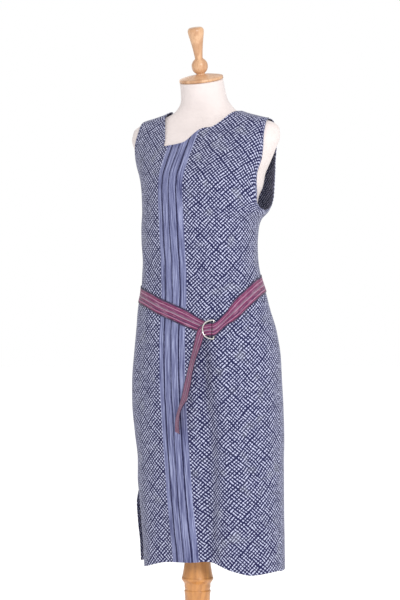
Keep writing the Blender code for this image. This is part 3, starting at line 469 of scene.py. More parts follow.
# Middle and half-width of the striped band, and place, half-width and strength of its lines.
BAND_CENTRE = 0.0018
BAND_HALF = 0.0340
BAND_LINES = (
    (-0.0195, 0.0014, 1.0),
    (0.0195, 0.0014, 1.0),
    (-0.0010, 0.0010, 0.9),
)
# Camera: its turn from the front, and metres to a pixel of a picture 400 wide and 600 tall.
CAMERA_TURN = 28.0
CAMERA_AWAY = 5.0
CAMERA_HEIGHT = 1.0402
TARGET_HEIGHT = 0.9236
PIXEL = 0.002333
PHOTO_WIDE = 400.0
PHOTO_TALL = 600.0
FORM_COLUMN = 197.5
# Stage
WHITE = (1.0, 1.0, 1.0, 1.0)
FLOOR_RADIUS = 14.0
FLOOR_SIDES = 96
FLOOR_GLOW = 0.30
LAMP_TARGET = (0.0, 0.0, 0.9)
# Name, place, width across and power of each lamp.
LAMPS = (
    ("key_lamp", (2.7, -2.3, 2.6), 1.5, 78.0),
    ("fill_lamp", (-2.6, 2.4, 2.2), 2.0, 12.0),
)
MADE = {}


def column(rows, names, name):
    """One named column of a table."""
    at = names.index(name)
    return [row[at] for row in rows]


def smooth(xs, ys, x):
    """A curve through the points that does not overshoot them, read at x; xs rise."""
    xs = np.asarray(xs, float)
    ys = np.asarray(ys, float)
    x = float(min(max(x, xs[0]), xs[-1]))
    steps = np.diff(xs)
    rises = np.diff(ys) / steps
    at = int(min(max(np.searchsorted(xs, x, side="right") - 1, 0), len(xs) - 2))

    def slope(k):
        if k == 0:
            return rises[0]
        if k == len(xs) - 1:
            return rises[-1]
        if rises[k - 1] * rises[k] <= 0:
            return 0.0
        first = 2 * steps[k] + steps[k - 1]
        second = steps[k] + 2 * steps[k - 1]
        return (first + second) / (first / rises[k - 1] + second / rises[k])

    span = steps[at]
    t = (x - xs[at]) / span
    a = (1 + 2 * t) * (1 - t) ** 2 * ys[at] + t * (1 - t) ** 2 * span * slope(at)
    b = t * t * (3 - 2 * t) * ys[at + 1] + t * t * (t - 1) * span * slope(at + 1)
    return float(a + b)


def read(rows, names, key, name, x):
    """A named column of a table, read smoothly at x of the key column."""
    return smooth(column(rows, names, key), column(rows, names, name), x)


def dress_level(name, z):
    """A named size of the dress at a height."""
    return read(DRESS_LEVELS, DRESS_COLUMNS, "z", name, z)


def dress_half(side, z):
    """Half-width of the dress at a height, on the side that the sign of side gives."""
    return dress_level("left" if side > 0 else "right", z)


def form_level(name, z):
    """A named size of the torso and neck at a height."""
    return read(FORM_LEVELS, FORM_COLUMNS, "z", name, z)


def hull_depth(ratio, power):
    """How much of the full depth a section keeps at this share of its half-width."""
    ratio = min(abs(ratio), 1.0)
    return (1.0 - ratio**power) ** (1.0 / power)


def fold_stand(face, side, z):
    """How far the large folds of one face stand out at this place."""
    total = 0.0
    for fold in FOLDS:
        values = dict(zip(FOLD_COLUMNS, fold))
        if values["face"] != face or z > values["z_top"]:
            continue
        down = (values["z_top"] - z) / (values["z_top"] - PLAIN_HEM)
        middle = values["side_top"] + (values["side_hem"] - values["side_top"]) * down
        grow = min(down * 2.0, 1.0)
        stand = values["stand_mid"] * grow * grow * (3 - 2 * grow)
        stand += (values["stand_hem"] - values["stand_mid"]) * down * down
        total += stand * math.exp(-(((side - middle) / values["width"]) ** 2))
    return total * (1.0 - side * side)


def slit_shift(name, side, z):
    """One of the slit's shifts at this place, less and less away from the seam."""
    if z >= SLIT_TOP_Z or side > SLIT_REACH:
        return 0.0
    near = (SLIT_REACH - side) / (1.0 + SLIT_REACH)
    return read(SLIT, SLIT_COLUMNS, "drop", name, SLIT_TOP_Z - z) * near * near


def dress_surface(face, side, z, half_width=None):
    """Outer point of the front or back; side is the sine of the angle from its middle."""
    sign = -1.0 if face == "front" else 1.0
    full = dress_half(side, z)
    width = full if half_width is None else half_width
    x = width * side
    keep = hull_depth(x / full, dress_level("power", z))
    y = dress_level("centre_y", z) + sign * dress_level(face, z) * keep
    y += sign * fold_stand(face, side, z)
    y += sign * SEAM_GAP / 2
    if face == "front":
        x += slit_shift("front_inward", side, z)
        y += slit_shift("front_backward", side, z)
    else:
        x -= slit_shift("back_outward", side, z)
        y -= slit_shift("back_forward", side, z)
    return Vector((x, y, z))


def ridge_z(x):
    """Height of the shoulder ridge above this distance from the middle."""
    widths = column(DRESS_LEVELS, DRESS_COLUMNS, "left")[-8:]
    heights = column(DRESS_LEVELS, DRESS_COLUMNS, "z")[-8:]
    return smooth(widths[::-1], heights[::-1], abs(x))


def armhole(face, side, share):
    """Distance of an armhole edge from the middle, on the side that the sign of side gives."""
    name = face + ("_left" if side > 0 else "_right")
    return read(ARMHOLE, ARMHOLE_COLUMNS, "share", name, share)


def drop_share(row):
    """Height share of a row between underarm (0) and shoulder (1), finer near the shoulder."""
    return math.cos(row * math.pi / 2)


def corner_row():
    """Row of the neck's squared corner, from the shoulder (0) to the underarm (1)."""
    share = (NECKLINE[0][1] - UNDERARM_Z) / (ridge_z(STRAP_EDGE[0][1]) - UNDERARM_Z)
    return math.acos(share) / (math.pi / 2)


def strap_side(row, step):
    """Side share of a right strap column at a row, from the armhole to the inner edge."""
    share = min(row / corner_row(), 1.0)
    inner = read(STRAP_EDGE, STRAP_COLUMNS, "share", "x", share) / armhole("front", -1, row)
    return math.sin(-math.pi / 2 + (math.pi / 2 + math.asin(inner)) * step)


def spread(first, last, count):
    """count values from first to last, both ends in."""
    return [first + (last - first) * k / (count - 1) for k in range(count)]


def srgb(red, green, blue):
    """A linear colour from display values of 0 to 255."""
    values = [c / 255.0 for c in (red, green, blue)]
    return tuple(c / 12.92 if c <= 0.04045 else ((c + 0.055) / 1.055) ** 2.4 for c in values)


class Value:
    """A node's output that plain arithmetic works on."""

    def __init__(self, graph, socket):
        self.graph = graph
        self.socket = socket

    def __add__(self, other):
        return self.graph.math("ADD", self, other)

    def __sub__(self, other):
        return self.graph.math("SUBTRACT", self, other)

    def __mul__(self, other):
        return self.graph.math("MULTIPLY", self, other)

    def __truediv__(self, other):
        return self.graph.math("DIVIDE", self, other)

    def __mod__(self, other):
        return self.graph.math("FLOORED_MODULO", self, other)

    def __abs__(self):
        return self.graph.math("ABSOLUTE", self)


class Graph:
    """Short ways to wire one material's nodes."""

    def __init__(self, name):
        self.material = bpy.data.materials.new(name)
        self.material.use_nodes = True
        self.tree = self.material.node_tree
        self.shader = self.tree.nodes["Principled BSDF"]

    def put(self, socket, value):
        if isinstance(value, Value):
            value = value.socket
        if isinstance(value, bpy.types.NodeSocket):
            self.tree.links.new(value, socket)
        else:
            socket.default_value = value

    def math(self, operation, *values):
        node = self.tree.nodes.new("ShaderNodeMath")
        node.operation = operation
        for socket, value in zip(node.inputs, values):
            self.put(socket, value)
        return Value(self, node.outputs[0])

    def sine(self, value):
        return self.math("SINE", value)

    def step(self, value, low, high, first=0.0, last=1.0):
        """A soft step from first to last as value goes from low to high."""
        node = self.tree.nodes.new("ShaderNodeMapRange")
        node.interpolation_type = "SMOOTHSTEP"
        for name, given in (("Value", value), ("From Min", low), ("From Max", high)):
            self.put(node.inputs[name], given)
        self.put(node.inputs["To Min"], first)
        self.put(node.inputs["To Max"], last)
        return Value(self, node.outputs["Result"])

    def vector(self, x, y, z=0.0):
        node = self.tree.nodes.new("ShaderNodeCombineXYZ")
        for socket, value in zip(node.inputs, (x, y, z)):
            self.put(socket, value)
        return node.outputs[0]

    def noise(self, vector, scale, detail=2.0, rough=0.5):
        """Soft noise of about 0 to 1; scale is how many patches a metre holds."""
        node = self.tree.nodes.new("ShaderNodeTexNoise")
        given = {"Vector": vector, "Scale": scale, "Detail": detail, "Roughness": rough}
        for name, value in given.items():
            self.put(node.inputs[name], value)
        return Value(self, node.outputs[0])

    def mix(self, share, first, second):
        node = self.tree.nodes.new("ShaderNodeMix")
        node.data_type = "RGBA"
        self.put(node.inputs[0], share)
        for socket, value in ((node.inputs[6], first), (node.inputs[7], second)):
            if isinstance(value, tuple):
                value = (*value[:3], 1.0)
            self.put(socket, value)
        return node.outputs[2]

    def ramp(self, value, stops, ease="LINEAR"):
        node = self.tree.nodes.new("ShaderNodeValToRGB")
        node.color_ramp.interpolation = ease
        elements = node.color_ramp.elements
        while len(elements) < len(stops):
            elements.new(0.5)
        for element, (at, colour) in zip(elements, stops):
            element.position = at
            element.color = (*colour[:3], 1.0)
        self.put(node.inputs[0], value)
        return node.outputs[0]

    def bump(self, height, strength, distance):
        node = self.tree.nodes.new("ShaderNodeBump")
        node.inputs["Strength"].default_value = strength
        node.inputs["Distance"].default_value = distance
        self.put(node.inputs["Height"], height)
        self.put(self.shader.inputs["Normal"], node.outputs[0])

    def uv(self):
        """The two lengths of the piece's own UV map, in metres."""
        node = self.tree.nodes.new("ShaderNodeTexCoord")
        split = self.tree.nodes.new("ShaderNodeSeparateXYZ")
        self.tree.links.new(node.outputs["UV"], split.inputs[0])
        return Value(self, split.outputs[0]), Value(self, split.outputs[1])

    def place(self):
        node = self.tree.nodes.new("ShaderNodeTexCoord")
        return node.outputs["Object"]

    def finish(self, colour, roughness, **fixed):
        """Sets the shader; a name with an underscore stands for the socket's spaced name."""
        if isinstance(colour, tuple):
            colour = (*colour[:3], 1.0)
        self.put(self.shader.inputs["Base Color"], colour)
        self.put(self.shader.inputs["Roughness"], roughness)
        for name, value in fixed.items():
            self.shader.inputs[name.replace("_", " ")].default_value = value
        return self.material


def batik_material(settings):
    """Indigo batik: a faint lattice filled with dots and short dashes, and a striped band."""
    g = Graph("batik_cloth_indigo")
    raw_u, raw_v = g.uv()
    hand = g.noise(g.vector(raw_u, raw_v), 55.0) - 0.5
    drift = g.noise(g.vector(raw_u, raw_v, 4.0), 14.0, 1.0) - 0.5
    other = g.noise(g.vector(raw_v, raw_u, 9.0), 48.0) - 0.5
    u = raw_u + hand * 0.0055 + drift * 0.011
    v = raw_v + other * 0.0055

    # Each diamond of the lattice holds four by four blocks, and each block two by two dots.
    repeat = settings.pattern_repeat
    margin = repeat * LATTICE_SHARE
    block = (repeat - 2 * margin) / 4
    p = (u + v) * math.sqrt(0.5)
    q = (u - v) * math.sqrt(0.5)
    border = g.math("MINIMUM", g.math("PINGPONG", p, repeat / 2), g.math("PINGPONG", q, repeat / 2))
    inner_p = p % repeat - margin
    inner_q = q % repeat - margin
    side_p = abs(inner_p % block - block / 2)
    side_q = abs(inner_q % block - block / 2)
    size = g.step(g.noise(g.vector(raw_u, raw_v, 2.0), 110.0, 1.0), 0.3, 0.7, *DOT_RADII)

    # The blocks at the middle of each of the diamond's edges hold dashes, turned by turns.
    in_p = g.math("FLOOR", inner_p / block)
    in_q = g.math("FLOOR", inner_q / block)
    mid_p = g.math("LESS_THAN", abs(in_p - 1.5), 1.0)
    mid_q = g.math("LESS_THAN", abs(in_q - 1.5), 1.0)
    dashed = abs(mid_p - mid_q)
    long_p = dashed * ((in_p + in_q) % 2.0)
    long_q = dashed - long_p

    def reach(side, along, across):
        """Squared distance from the dot's middle, less along a dash and more across it."""
        gap = (side - block * 0.24) * (across * 0.30 - along * 0.32 + 1.0)
        return gap * gap

    away = g.math("SQRT", reach(side_p, long_p, long_q) + reach(side_q, long_q, long_p))
    drawn = g.step(away - size, -0.0002, 0.0006, 1.0, 0.0)
    cloudy = g.noise(g.vector(raw_u, raw_v, 6.0), 34.0, 3.0, 0.6)
    tone = drawn * g.step(border, margin - 0.0003, margin + 0.0003)
    tone = tone * g.step(cloudy, 0.3, 0.65, 0.80, 1.0) + 0.02
    dyes = ((0.0, settings.indigo_dark), (0.42, settings.indigo_mid), (0.95, settings.wax_light))
    faded = g.step(g.noise(g.vector(raw_u, raw_v, 8.0), 26.0), 0.55, 0.75, 0.0, 0.22)
    washed = srgb(150, 154, 162)
    field = g.mix(faded, g.ramp(tone, dyes), washed)

    # The band is brushed lengthwise in three blues under three dark lines.
    streak = g.noise(g.vector(raw_u * 24.0, raw_v), 14.0, 3.0, 0.6)
    blues = ((0.34, srgb(64, 66, 106)), (0.50, srgb(110, 114, 152)), (0.66, srgb(156, 161, 196)))
    band = g.ramp(streak, blues)
    line_dye = srgb(22, 21, 62)
    sway = (g.noise(g.vector(0.0, raw_v), 22.0) - 0.5) * 0.0024
    uneven = (g.noise(g.vector(raw_u, raw_v, 3.0), 120.0, 1.0) - 0.5) * 0.0012
    band_u = raw_u + sway
    for at, half_width, strength in BAND_LINES:
        shown = g.step(abs(band_u - at) + uneven, half_width, half_width + 0.0008, strength, 0.0)
        band = g.mix(shown, band, line_dye)
    off_band = g.step(abs(raw_u - BAND_CENTRE), BAND_HALF - 0.0005, BAND_HALF + 0.0005)

    yarn = 2 * math.pi / YARN_PITCH
    weave = g.sine(raw_u * yarn) * g.sine(raw_v * yarn)
    g.bump(weave * 0.5 + cloudy * 0.8, 0.25, 0.0004)
    colour = g.mix(off_band, band, field)
    rough = g.step(tone, 0.0, 1.0, 0.80, 0.92)
    return g.finish(colour, rough, Sheen_Weight=0.15, Sheen_Roughness=0.5, Specular_IOR_Level=0.25)


def belt_material(settings):
    """A woven band: warp stripes along it, flecks of pale and dark weft, and ribs across."""
    g = Graph("belt_weave_striped")
    along, across = g.uv()
    wander = (g.noise(g.vector(along, across), 40.0) - 0.5) * 0.05
    paint = {
        "navy": settings.belt_edge,
        "maroon": settings.belt_maroon,
        "red": settings.belt_red,
        "pink": settings.belt_pink,
        "plum": srgb(94, 52, 92),
        "sage": srgb(112, 96, 112),
    }
    stripes = [(at, paint[name]) for at, name in BELT_STRIPES]
    colour = g.ramp(across / BELT_WIDTH + 0.5 + wander, stripes)
    pale = g.noise(g.vector(along * 0.5, across * 9.0), 90.0)
    colour = g.mix(g.step(pale, 0.52, 0.70, 0.0, 0.45), colour, srgb(206, 168, 190))
    dark = g.noise(g.vector(along * 0.7, across * 8.0, 5.0), 70.0)
    colour = g.mix(g.step(dark, 0.54, 0.72, 0.0, 0.55), colour, srgb(70, 42, 76))
    ribs = g.sine(along * (2 * math.pi / 0.0012))
    warp = g.sine(across * (2 * math.pi / 0.0010))
    colour = g.mix(g.step(ribs * warp, -0.2, 0.9, 0.0, 0.28), colour, srgb(60, 30, 58))
    g.bump(ribs + warp * 0.7, 0.35, 0.0004)
    return g.finish(colour, 0.8, Sheen_Weight=0.2, Sheen_Roughness=0.4, Specular_IOR_Level=0.3)


def jersey_material(settings):
    """Cream cotton jersey: fine ribs of loops with a faint uneven tone, and painted shade in the low rows
    of loops.
    """
    g = Graph("form_cover_jersey")
    u, v = g.uv()
    tone = g.noise(g.place(), 16.0, 3.0)
    deep = tuple(c * 0.93 for c in settings.jersey)
    colour = g.mix(g.step(tone, 0.35, 0.70), deep, tuple(settings.jersey))
    wale = abs(g.sine(u * (math.pi / 0.0011)))
    course = g.sine(v * (2 * math.pi / 0.0009) + wale * 2.0)
    # Painted shade: the rows of loops darken where the bump sits low.
    colour = g.mix(g.step(course, -1.0, 1.0, 0.10, 0.0), colour, srgb(198, 184, 178))
    g.bump(wale + course * 0.5, 0.3, 0.0004)
    return g.finish(colour, 0.9, Sheen_Weight=0.25, Sheen_Roughness=0.5, Specular_IOR_Level=0.25)


def wood_material(name, colour, deep, stretch):
    """Turned light wood: long grain along the piece, fine pores and rings, under satin varnish."""
    g = Graph(name)
    mapping = g.tree.nodes.new("ShaderNodeMapping")
    mapping.inputs["Scale"].default_value = stretch
    g.tree.links.new(g.place(), mapping.inputs[0])
    wave = g.tree.nodes.new("ShaderNodeTexWave")
    wave.wave_type = "RINGS"
    wave.rings_direction = "X"
    for socket, value in (("Scale", 34.0), ("Distortion", 5.0), ("Detail", 3.0), ("Detail Scale", 1.6)):
        wave.inputs[socket].default_value = value
    g.tree.links.new(mapping.outputs[0], wave.inputs["Vector"])
    grain = g.noise(mapping.outputs[0], 220.0, 4.0, 0.65)
    pores = g.noise(mapping.outputs[0], 900.0, 2.0)
    body = g.mix(g.step(wave.outputs["Fac"], 0.2, 0.9, 0.0, 0.38), colour, deep)
    body = g.mix(g.step(grain, 0.42, 0.72, 0.0, 0.40), body, deep)
    body = g.mix(g.step(pores, 0.62, 0.74, 0.0, 0.45), body, tuple(c * 0.55 for c in deep))
    g.bump(pores * -0.6 + grain, 0.12, 0.0006)
    rough = g.step(grain, 0.3, 0.7, 0.34, 0.46)
    return g.finish(body, rough, Coat_Weight=0.25, Coat_Roughness=0.22)


def nickel_material(settings):
    """Bright nickel wire with fine rubbed marks."""
    g = Graph("ring_steel_nickel")
    marks = g.noise(g.place(), 700.0, 3.0, 0.6)
    worn = g.noise(g.place(), 120.0, 2.0)
    colour = g.mix(g.step(worn, 0.45, 0.7, 0.0, 0.35), tuple(settings.nickel), srgb(196, 190, 182))
    g.bump(marks, 0.08, 0.0002)
    return g.finish(colour, g.step(marks, 0.3, 0.7, 0.16, 0.30), Metallic=1.0)


def thread_material(name, colour):
    """Twisted sewing thread, with painted shade in the hollows of its twist."""
    g = Graph(name)
    twist = g.noise(g.place(), 2600.0, 1.0)
    # Painted shade: the thread darkens where the twist's bump sits low.
    body = g.mix(g.step(twist, 0.35, 0.65), tuple(c * 0.6 for c in colour), colour)
    g.bump(twist, 0.2, 0.0002)
    return g.finish(body, 0.7, Sheen_Weight=0.2)


def add_piece(name, points, faces, material, uvs=None, sharp=()):
    """A smooth mesh object with optional UVs per point and sharp edges."""
    mesh = bpy.data.meshes.new(name)
    mesh.from_pydata([tuple(p) for p in points], [], faces)
    if uvs is not None:
        layer = mesh.uv_layers.new(name="UVMap")
        corners = np.zeros(len(mesh.loops), np.int32)
        mesh.loops.foreach_get("vertex_index", corners)
        layer.data.foreach_set("uv", np.asarray(uvs, np.float32)[corners].ravel())
    mesh.shade_smooth()
    if sharp:
        marks = mesh.attributes.new("sharp_edge", "BOOLEAN", "EDGE")
        for edge in mesh.edges:
            if tuple(sorted(edge.vertices)) in sharp:
                marks.data[edge.index].value = True
    mesh.validate()
    mesh.update()
    mesh.materials.append(material)
    obj = bpy.data.objects.new(name, mesh)
    bpy.context.scene.collection.objects.link(obj)
    return finish_piece(obj)


def finish_piece(obj):
    """Fixes a piece to the frame's one body."""
    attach(obj, "root")
    return obj


def face_outwards(points, faces):
    """The faces of a closed shape, turned round when they point in."""
    volume = 0.0
    for face in faces:
        first = points[face[0]]
        for k in range(1, len(face) - 1):
            volume += first.dot(points[face[k]].cross(points[face[k + 1]]))
    return faces if volume > 0 else [tuple(reversed(face)) for face in faces]


def point_normals(points, quads):
    """Unit normals of an array of points, from its quads."""
    quads = np.asarray(quads)
    a, b, c, d = (points[quads[:, corner]] for corner in range(4))
    cross = np.cross(c - a, d - b)
    normals = np.zeros_like(points)
    for k in range(4):
        np.add.at(normals, quads[:, k], cross)
    return normals / np.maximum(np.linalg.norm(normals, axis=1), 1e-12)[:, None]


def border_edges(quads):
    """Directed edges that only one quad has."""
    edges = set()
    for quad in quads:
        for k in range(4):
            edges.add((quad[k], quad[(k + 1) % 4]))
    return [(a, b) for a, b in sorted(edges) if (b, a) not in edges]


def cloth_shell(name, points, uvs, quads, normals, wall, material):
    """A closed cloth wall inside an outer skin, with its cut edges rounded."""
    count = len(points)
    inner = points - normals * wall
    border = border_edges(quads)
    outward = {}
    for a, b in border:
        away = np.cross(points[b] - points[a], normals[a] + normals[b])
        for at in (a, b):
            outward[at] = outward.get(at, 0.0) + away / np.linalg.norm(away)
    rim = {}
    rounded = []
    for at, away in outward.items():
        rim[at] = 2 * count + len(rounded)
        away = away / max(np.linalg.norm(away), 1e-9)
        rounded.append((points[at] + inner[at]) / 2 + away * EDGE_ROUND)
    faces = [tuple(quad) for quad in quads]
    faces += [tuple(i + count for i in reversed(quad)) for quad in quads]
    sharp = set()
    for a, b in border:
        faces.append((b, a, rim[a], rim[b]))
        faces.append((rim[b], rim[a], a + count, b + count))
        sharp.add(tuple(sorted((a, b))))
        sharp.add(tuple(sorted((a + count, b + count))))
    every = np.vstack([points, inner, np.array(rounded)])
    uvs = np.vstack([uvs, uvs, uvs[list(outward)]])
    return add_piece(name, every, faces, material, uvs=uvs, sharp=sharp)


def hem_stretch(face, side, z):
    """A row's height where the rows below the last fixed one stretch to the hem."""
    if z >= LAST_FIXED_ROW:
        return z
    hem = read(HEM, HEM_COLUMNS, "side", face + "_z", side)
    return hem + (z - PLAIN_HEM) * (LAST_FIXED_ROW - hem) / (LAST_FIXED_ROW - PLAIN_HEM)


def arc_tables():
    """Arc from the middle line at each height, by share of the half-width, in each quarter."""
    heights = np.linspace(*ARC_SPAN, 112)
    shares = np.sin(np.linspace(0.0, math.pi / 2, 46))
    tables = {}
    for face in ("front", "back"):
        for hand in ("left", "right"):
            rows = []
            for z in heights:
                full = dress_level(hand, z)
                power = dress_level("power", z)
                depth = dress_level(face, z)
                ys = np.array([depth * hull_depth(share, power) for share in shares])
                steps = np.hypot(np.diff(shares * full), np.diff(ys))
                rows.append(np.concatenate([[0.0], np.cumsum(steps)]))
            tables[face, hand] = np.array(rows)
    return heights, shares, tables


ARC_HEIGHTS, ARC_SHARES, ARC_TABLES = arc_tables()


def arc_at(face, x, z):
    """Signed arc from the middle line to this sideways place at this height."""
    hand = "left" if x > 0 else "right"
    table = ARC_TABLES[face, hand]
    share = min(abs(x) / dress_level(hand, z), 1.0)
    at = (z - ARC_HEIGHTS[0]) / (ARC_HEIGHTS[1] - ARC_HEIGHTS[0])
    low = int(min(max(at, 0), len(ARC_HEIGHTS) - 2))
    t = at - low
    row = table[low] * (1 - t) + table[low + 1] * t
    return math.copysign(float(np.interp(share, ARC_SHARES, row)), x)


def crease_stand(face, arcs, heights, sides):
    """How far the small creases stand at each point, still at the seams and under the belt."""
    total = np.zeros(len(arcs))
    for crease in CREASES:
        c = dict(zip(CREASE_COLUMNS, crease))
        if c["face"] != face:
            continue
        along = np.array([c["arc_b"] - c["arc_a"], c["z_b"] - c["z_a"]])
        length = np.linalg.norm(along)
        offset = np.stack([arcs - c["arc_a"], heights - c["z_a"]], 1)
        t = np.clip(offset @ along / length**2, -CREASE_FADE, 1.0 + CREASE_FADE)
        bend = CREASE_BEND * length * np.sin(t * math.pi)
        away = (offset[:, 0] * along[1] - offset[:, 1] * along[0]) / length + bend
        beyond = np.maximum(np.maximum(-t, t - 1.0), 0.0) * length
        shape = np.exp(-((away / c["width"]) ** 2) - (beyond / (c["width"] * 1.5)) ** 2)
        nearest = np.minimum(t + CREASE_FADE, 1.0 + CREASE_FADE - t)
        ends = np.clip(nearest / (2 * CREASE_FADE), 0.0, 1.0)
        total += c["stand"] * shape * ends
    turn = np.degrees(np.arcsin(np.clip(sides, -1, 1)))
    if face == "back":
        turn = 180.0 - turn
    belt = np.array([belt_height(angle) for angle in turn])
    still = 1.0 - np.exp(-(((heights - belt) / BELT_HOLD) ** 4))
    return total * still * (1.0 - sides**4)


def finished_panel(name, face, rows, quads, places, settings, material):
    """Places the creases on a panel's outer skin and closes it into a cloth wall."""
    points = np.array([tuple(p) for p in rows])
    arcs, lengths, sides = (np.array(values) for values in zip(*places))
    normals = point_normals(points, quads)
    for at, side in enumerate(sides):
        on_ridge = points[at][2] > SHOULDER_Z and abs(normals[at][2]) > 0.5
        if abs(side) > 0.9999 or on_ridge:
            normals[at][1] = 0.0
            normals[at] /= max(np.linalg.norm(normals[at]), 1e-9)
    points = points + normals * crease_stand(face, arcs, points[:, 2], sides)[:, None]
    if face == "front":
        across = arcs - np.array([read(BAND, BAND_COLUMNS, "z", "middle", z) for z in points[:, 2]])
    else:
        across = arcs + BACK_PRINT_SHIFT
    uvs = np.stack([across, lengths], 1)
    obj = cloth_shell(name, points, uvs, quads, normals, settings.cloth_wall, material)
    return obj, points, normals


def column_lengths(points, rows, count, start_row):
    """Length down each column, from zero at the start row; up is positive."""
    grid = np.array([tuple(p) for p in points]).reshape(rows, count, 3)
    steps = np.linalg.norm(np.diff(grid, axis=0), axis=2)
    total = np.vstack([np.zeros(count), np.cumsum(steps, axis=0)])
    return total[start_row][None, :] - total


def fine_shares(shares):
    """The row shares of a panel's upper part with FINE steps between each two."""
    numbers = range(len(shares))
    return [smooth(numbers, shares, k / FINE) for k in range((len(shares) - 1) * FINE + 1)]


def body_grid(face, sides, upper):
    """A panel's body: its upper rows of heights and half-widths, then rows down to the hem."""
    lowers = spread(UNDERARM_Z, PLAIN_HEM, LOWER_ROWS + 1)[1:]
    rows = upper + [[(hem_stretch(face, side, low), None) for side in sides] for low in lowers]
    points = []
    xs = []
    for row in rows:
        for side, (z, width) in zip(sides, row):
            points.append(dress_surface(face, side, z, width))
            xs.append((width or dress_half(side, z)) * side)
    count = len(sides)
    body = [list(range(row * count, (row + 1) * count)) for row in range(len(rows))]
    start = len(upper) - 1
    start += int(LOWER_ROWS * (UNDERARM_Z - LENGTH_START_Z) / (UNDERARM_Z - PLAIN_HEM))
    lengths = column_lengths(points, len(rows), count, start)
    places = []
    for numbers, row_lengths in zip(body, lengths):
        for at, length, side in zip(numbers, row_lengths, sides):
            places.append((arc_at(face, xs[at], points[at].z), length, side))
    quads = []
    for row, below in zip(body, body[1:]):
        for at in range(count - 1):
            if face == "front":
                quads.append((row[at], below[at], below[at + 1], row[at + 1]))
            else:
                quads.append((row[at], row[at + 1], below[at + 1], below[at]))
    return points, places, quads, body


def front_columns():
    """Number, side share and top height of each fine column of the front."""
    square_row = corner_row()
    left_first = STRAP_STEPS + len(NECKLINE) - 1
    sides = [strap_side(square_row, k / STRAP_STEPS) for k in range(STRAP_STEPS + 1)]
    for x in column(NECKLINE, NECKLINE_COLUMNS, "x")[1:-1]:
        sides.append(x / armhole("front", x, square_row))
    start = math.asin(NECKLINE[-1][0] / armhole("front", 1, 0.0))
    sides += [math.sin(a) for a in spread(start, math.pi / 2, LEFT_STEPS + 1)]
    tops = []
    for at, side in enumerate(sides):
        if at < STRAP_STEPS:
            x = armhole("front", -1, square_row) * side
            tops.append(UNDERARM_Z + (ridge_z(x) - UNDERARM_Z) * drop_share(square_row))
        elif at < left_first:
            tops.append(NECKLINE[at - STRAP_STEPS][1])
        else:
            tops.append(ridge_z(armhole("front", 1, 0.0) * side))
    numbers = range(len(sides))
    fine = [k / FINE for k in range((len(sides) - 1) * FINE + 1)]
    return fine, [smooth(numbers, sides, c) for c in fine], [smooth(numbers, tops, c) for c in fine]


def build_front(settings, material):
    """The front: a body grid up to the neck edge, and the right shoulder strap above it."""
    square_row = corner_row()
    left_first = STRAP_STEPS + len(NECKLINE) - 1
    fine, sides, tops = front_columns()
    upper = []
    for part in fine_shares(FRONT_SHARES):
        strap_level = square_row + (1.0 - square_row) * part
        strap_keep = drop_share(strap_level) / drop_share(square_row)
        row = []
        for at, side, top in zip(fine, sides, tops):
            roll = min(max((at - STRAP_STEPS) / (left_first - STRAP_STEPS), 0.0), 1.0)
            keep = (1.0 - roll) * strap_keep + roll * drop_share(part)
            level = (1.0 - roll) * strap_level + roll * part
            z = UNDERARM_Z + (top - UNDERARM_Z) * keep
            row.append((z, armhole("front", side, level) if part < 1.0 else None))
        upper.append(row)
    points, places, quads, body = body_grid("front", sides, upper)

    strap_count = STRAP_STEPS * FINE
    strap_rows = 6 * FINE
    above = list(range(strap_count + 1))
    strap = []
    for row in range(strap_rows - 1, -1, -1):
        level = square_row * row / strap_rows
        width = armhole("front", -1, level)
        line = []
        for at in range(strap_count + 1):
            side = strap_side(level, at / strap_count)
            z = UNDERARM_Z + (ridge_z(width * side) - UNDERARM_Z) * drop_share(level)
            point = dress_surface("front", side, z, width)
            below = above[at]
            length = places[below][1] + (point - points[below]).length
            line.append(len(points))
            places.append((arc_at("front", width * side, z), length, side))
            points.append(point)
        for at in range(strap_count):
            quads.append((line[at], above[at], above[at + 1], line[at + 1]))
        above = line
        strap.append(line)
    obj, skin, normals = finished_panel("front_cloth", "front", points, quads, places, settings, material)
    return {
        "piece": obj,
        "skin": skin,
        "normals": normals,
        "body": body,
        "strap": strap,
        "shoulder_rows": len(upper) - 1,
        "neck": (strap_count, left_first * FINE),
    }


def build_back(settings, material):
    """The back panel, from a shallow round neck to the hem."""
    widest = armhole("back", 1, 0.0)
    neck_side = NECK_POINT_X / widest
    neck = math.asin(neck_side)
    shoulder = BACK_SHOULDER_STEPS * FINE
    angles = spread(-math.pi / 2, -neck, shoulder + 1)
    angles += spread(-neck, neck, BACK_NECK_STEPS * FINE + 1)[1:-1]
    angles += spread(neck, math.pi / 2, shoulder + 1)
    sides = [math.sin(a) for a in angles]
    neck_last = shoulder + BACK_NECK_STEPS * FINE
    upper = []
    for part in fine_shares(BACK_SHARES):
        row = []
        for at, side in enumerate(sides):
            top = ridge_z(widest * side)
            if shoulder < at < neck_last:
                scoop = math.sqrt(max(1.0 - (side / neck_side) ** 2, 0.0))
                top = ridge_z(NECK_POINT_X) - BACK_NECK_DROP * scoop
            z = UNDERARM_Z + (top - UNDERARM_Z) * drop_share(part)
            row.append((z, armhole("back", side, part) if part < 1.0 else None))
        upper.append(row)
    points, places, quads, body = body_grid("back", sides, upper)
    obj, skin, normals = finished_panel("back_cloth", "back", points, quads, places, settings, material)
    return {
        "piece": obj,
        "skin": skin,
        "normals": normals,
        "body": body,
        "shoulder_rows": len(upper) - 1,
        "neck": (shoulder, neck_last),
    }


def belt_place(angle, z, lift):
    """A point over the dress at this angle from the front middle, lifted off its outer face."""

    def outer(turn, height):
        turn = (turn + 180.0) % 360.0 - 180.0
        face = "front" if abs(turn) <= 90.0 else "back"
        return dress_surface(face, math.sin(math.radians(turn)), height)

    step = 0.5
    across = outer(angle + step, z) - outer(angle - step, z)
    up = outer(angle, z + 0.002) - outer(angle, z - 0.002)
    normal = across.cross(up)
    normal.normalize()
    return outer(angle, z) + normal * lift, normal


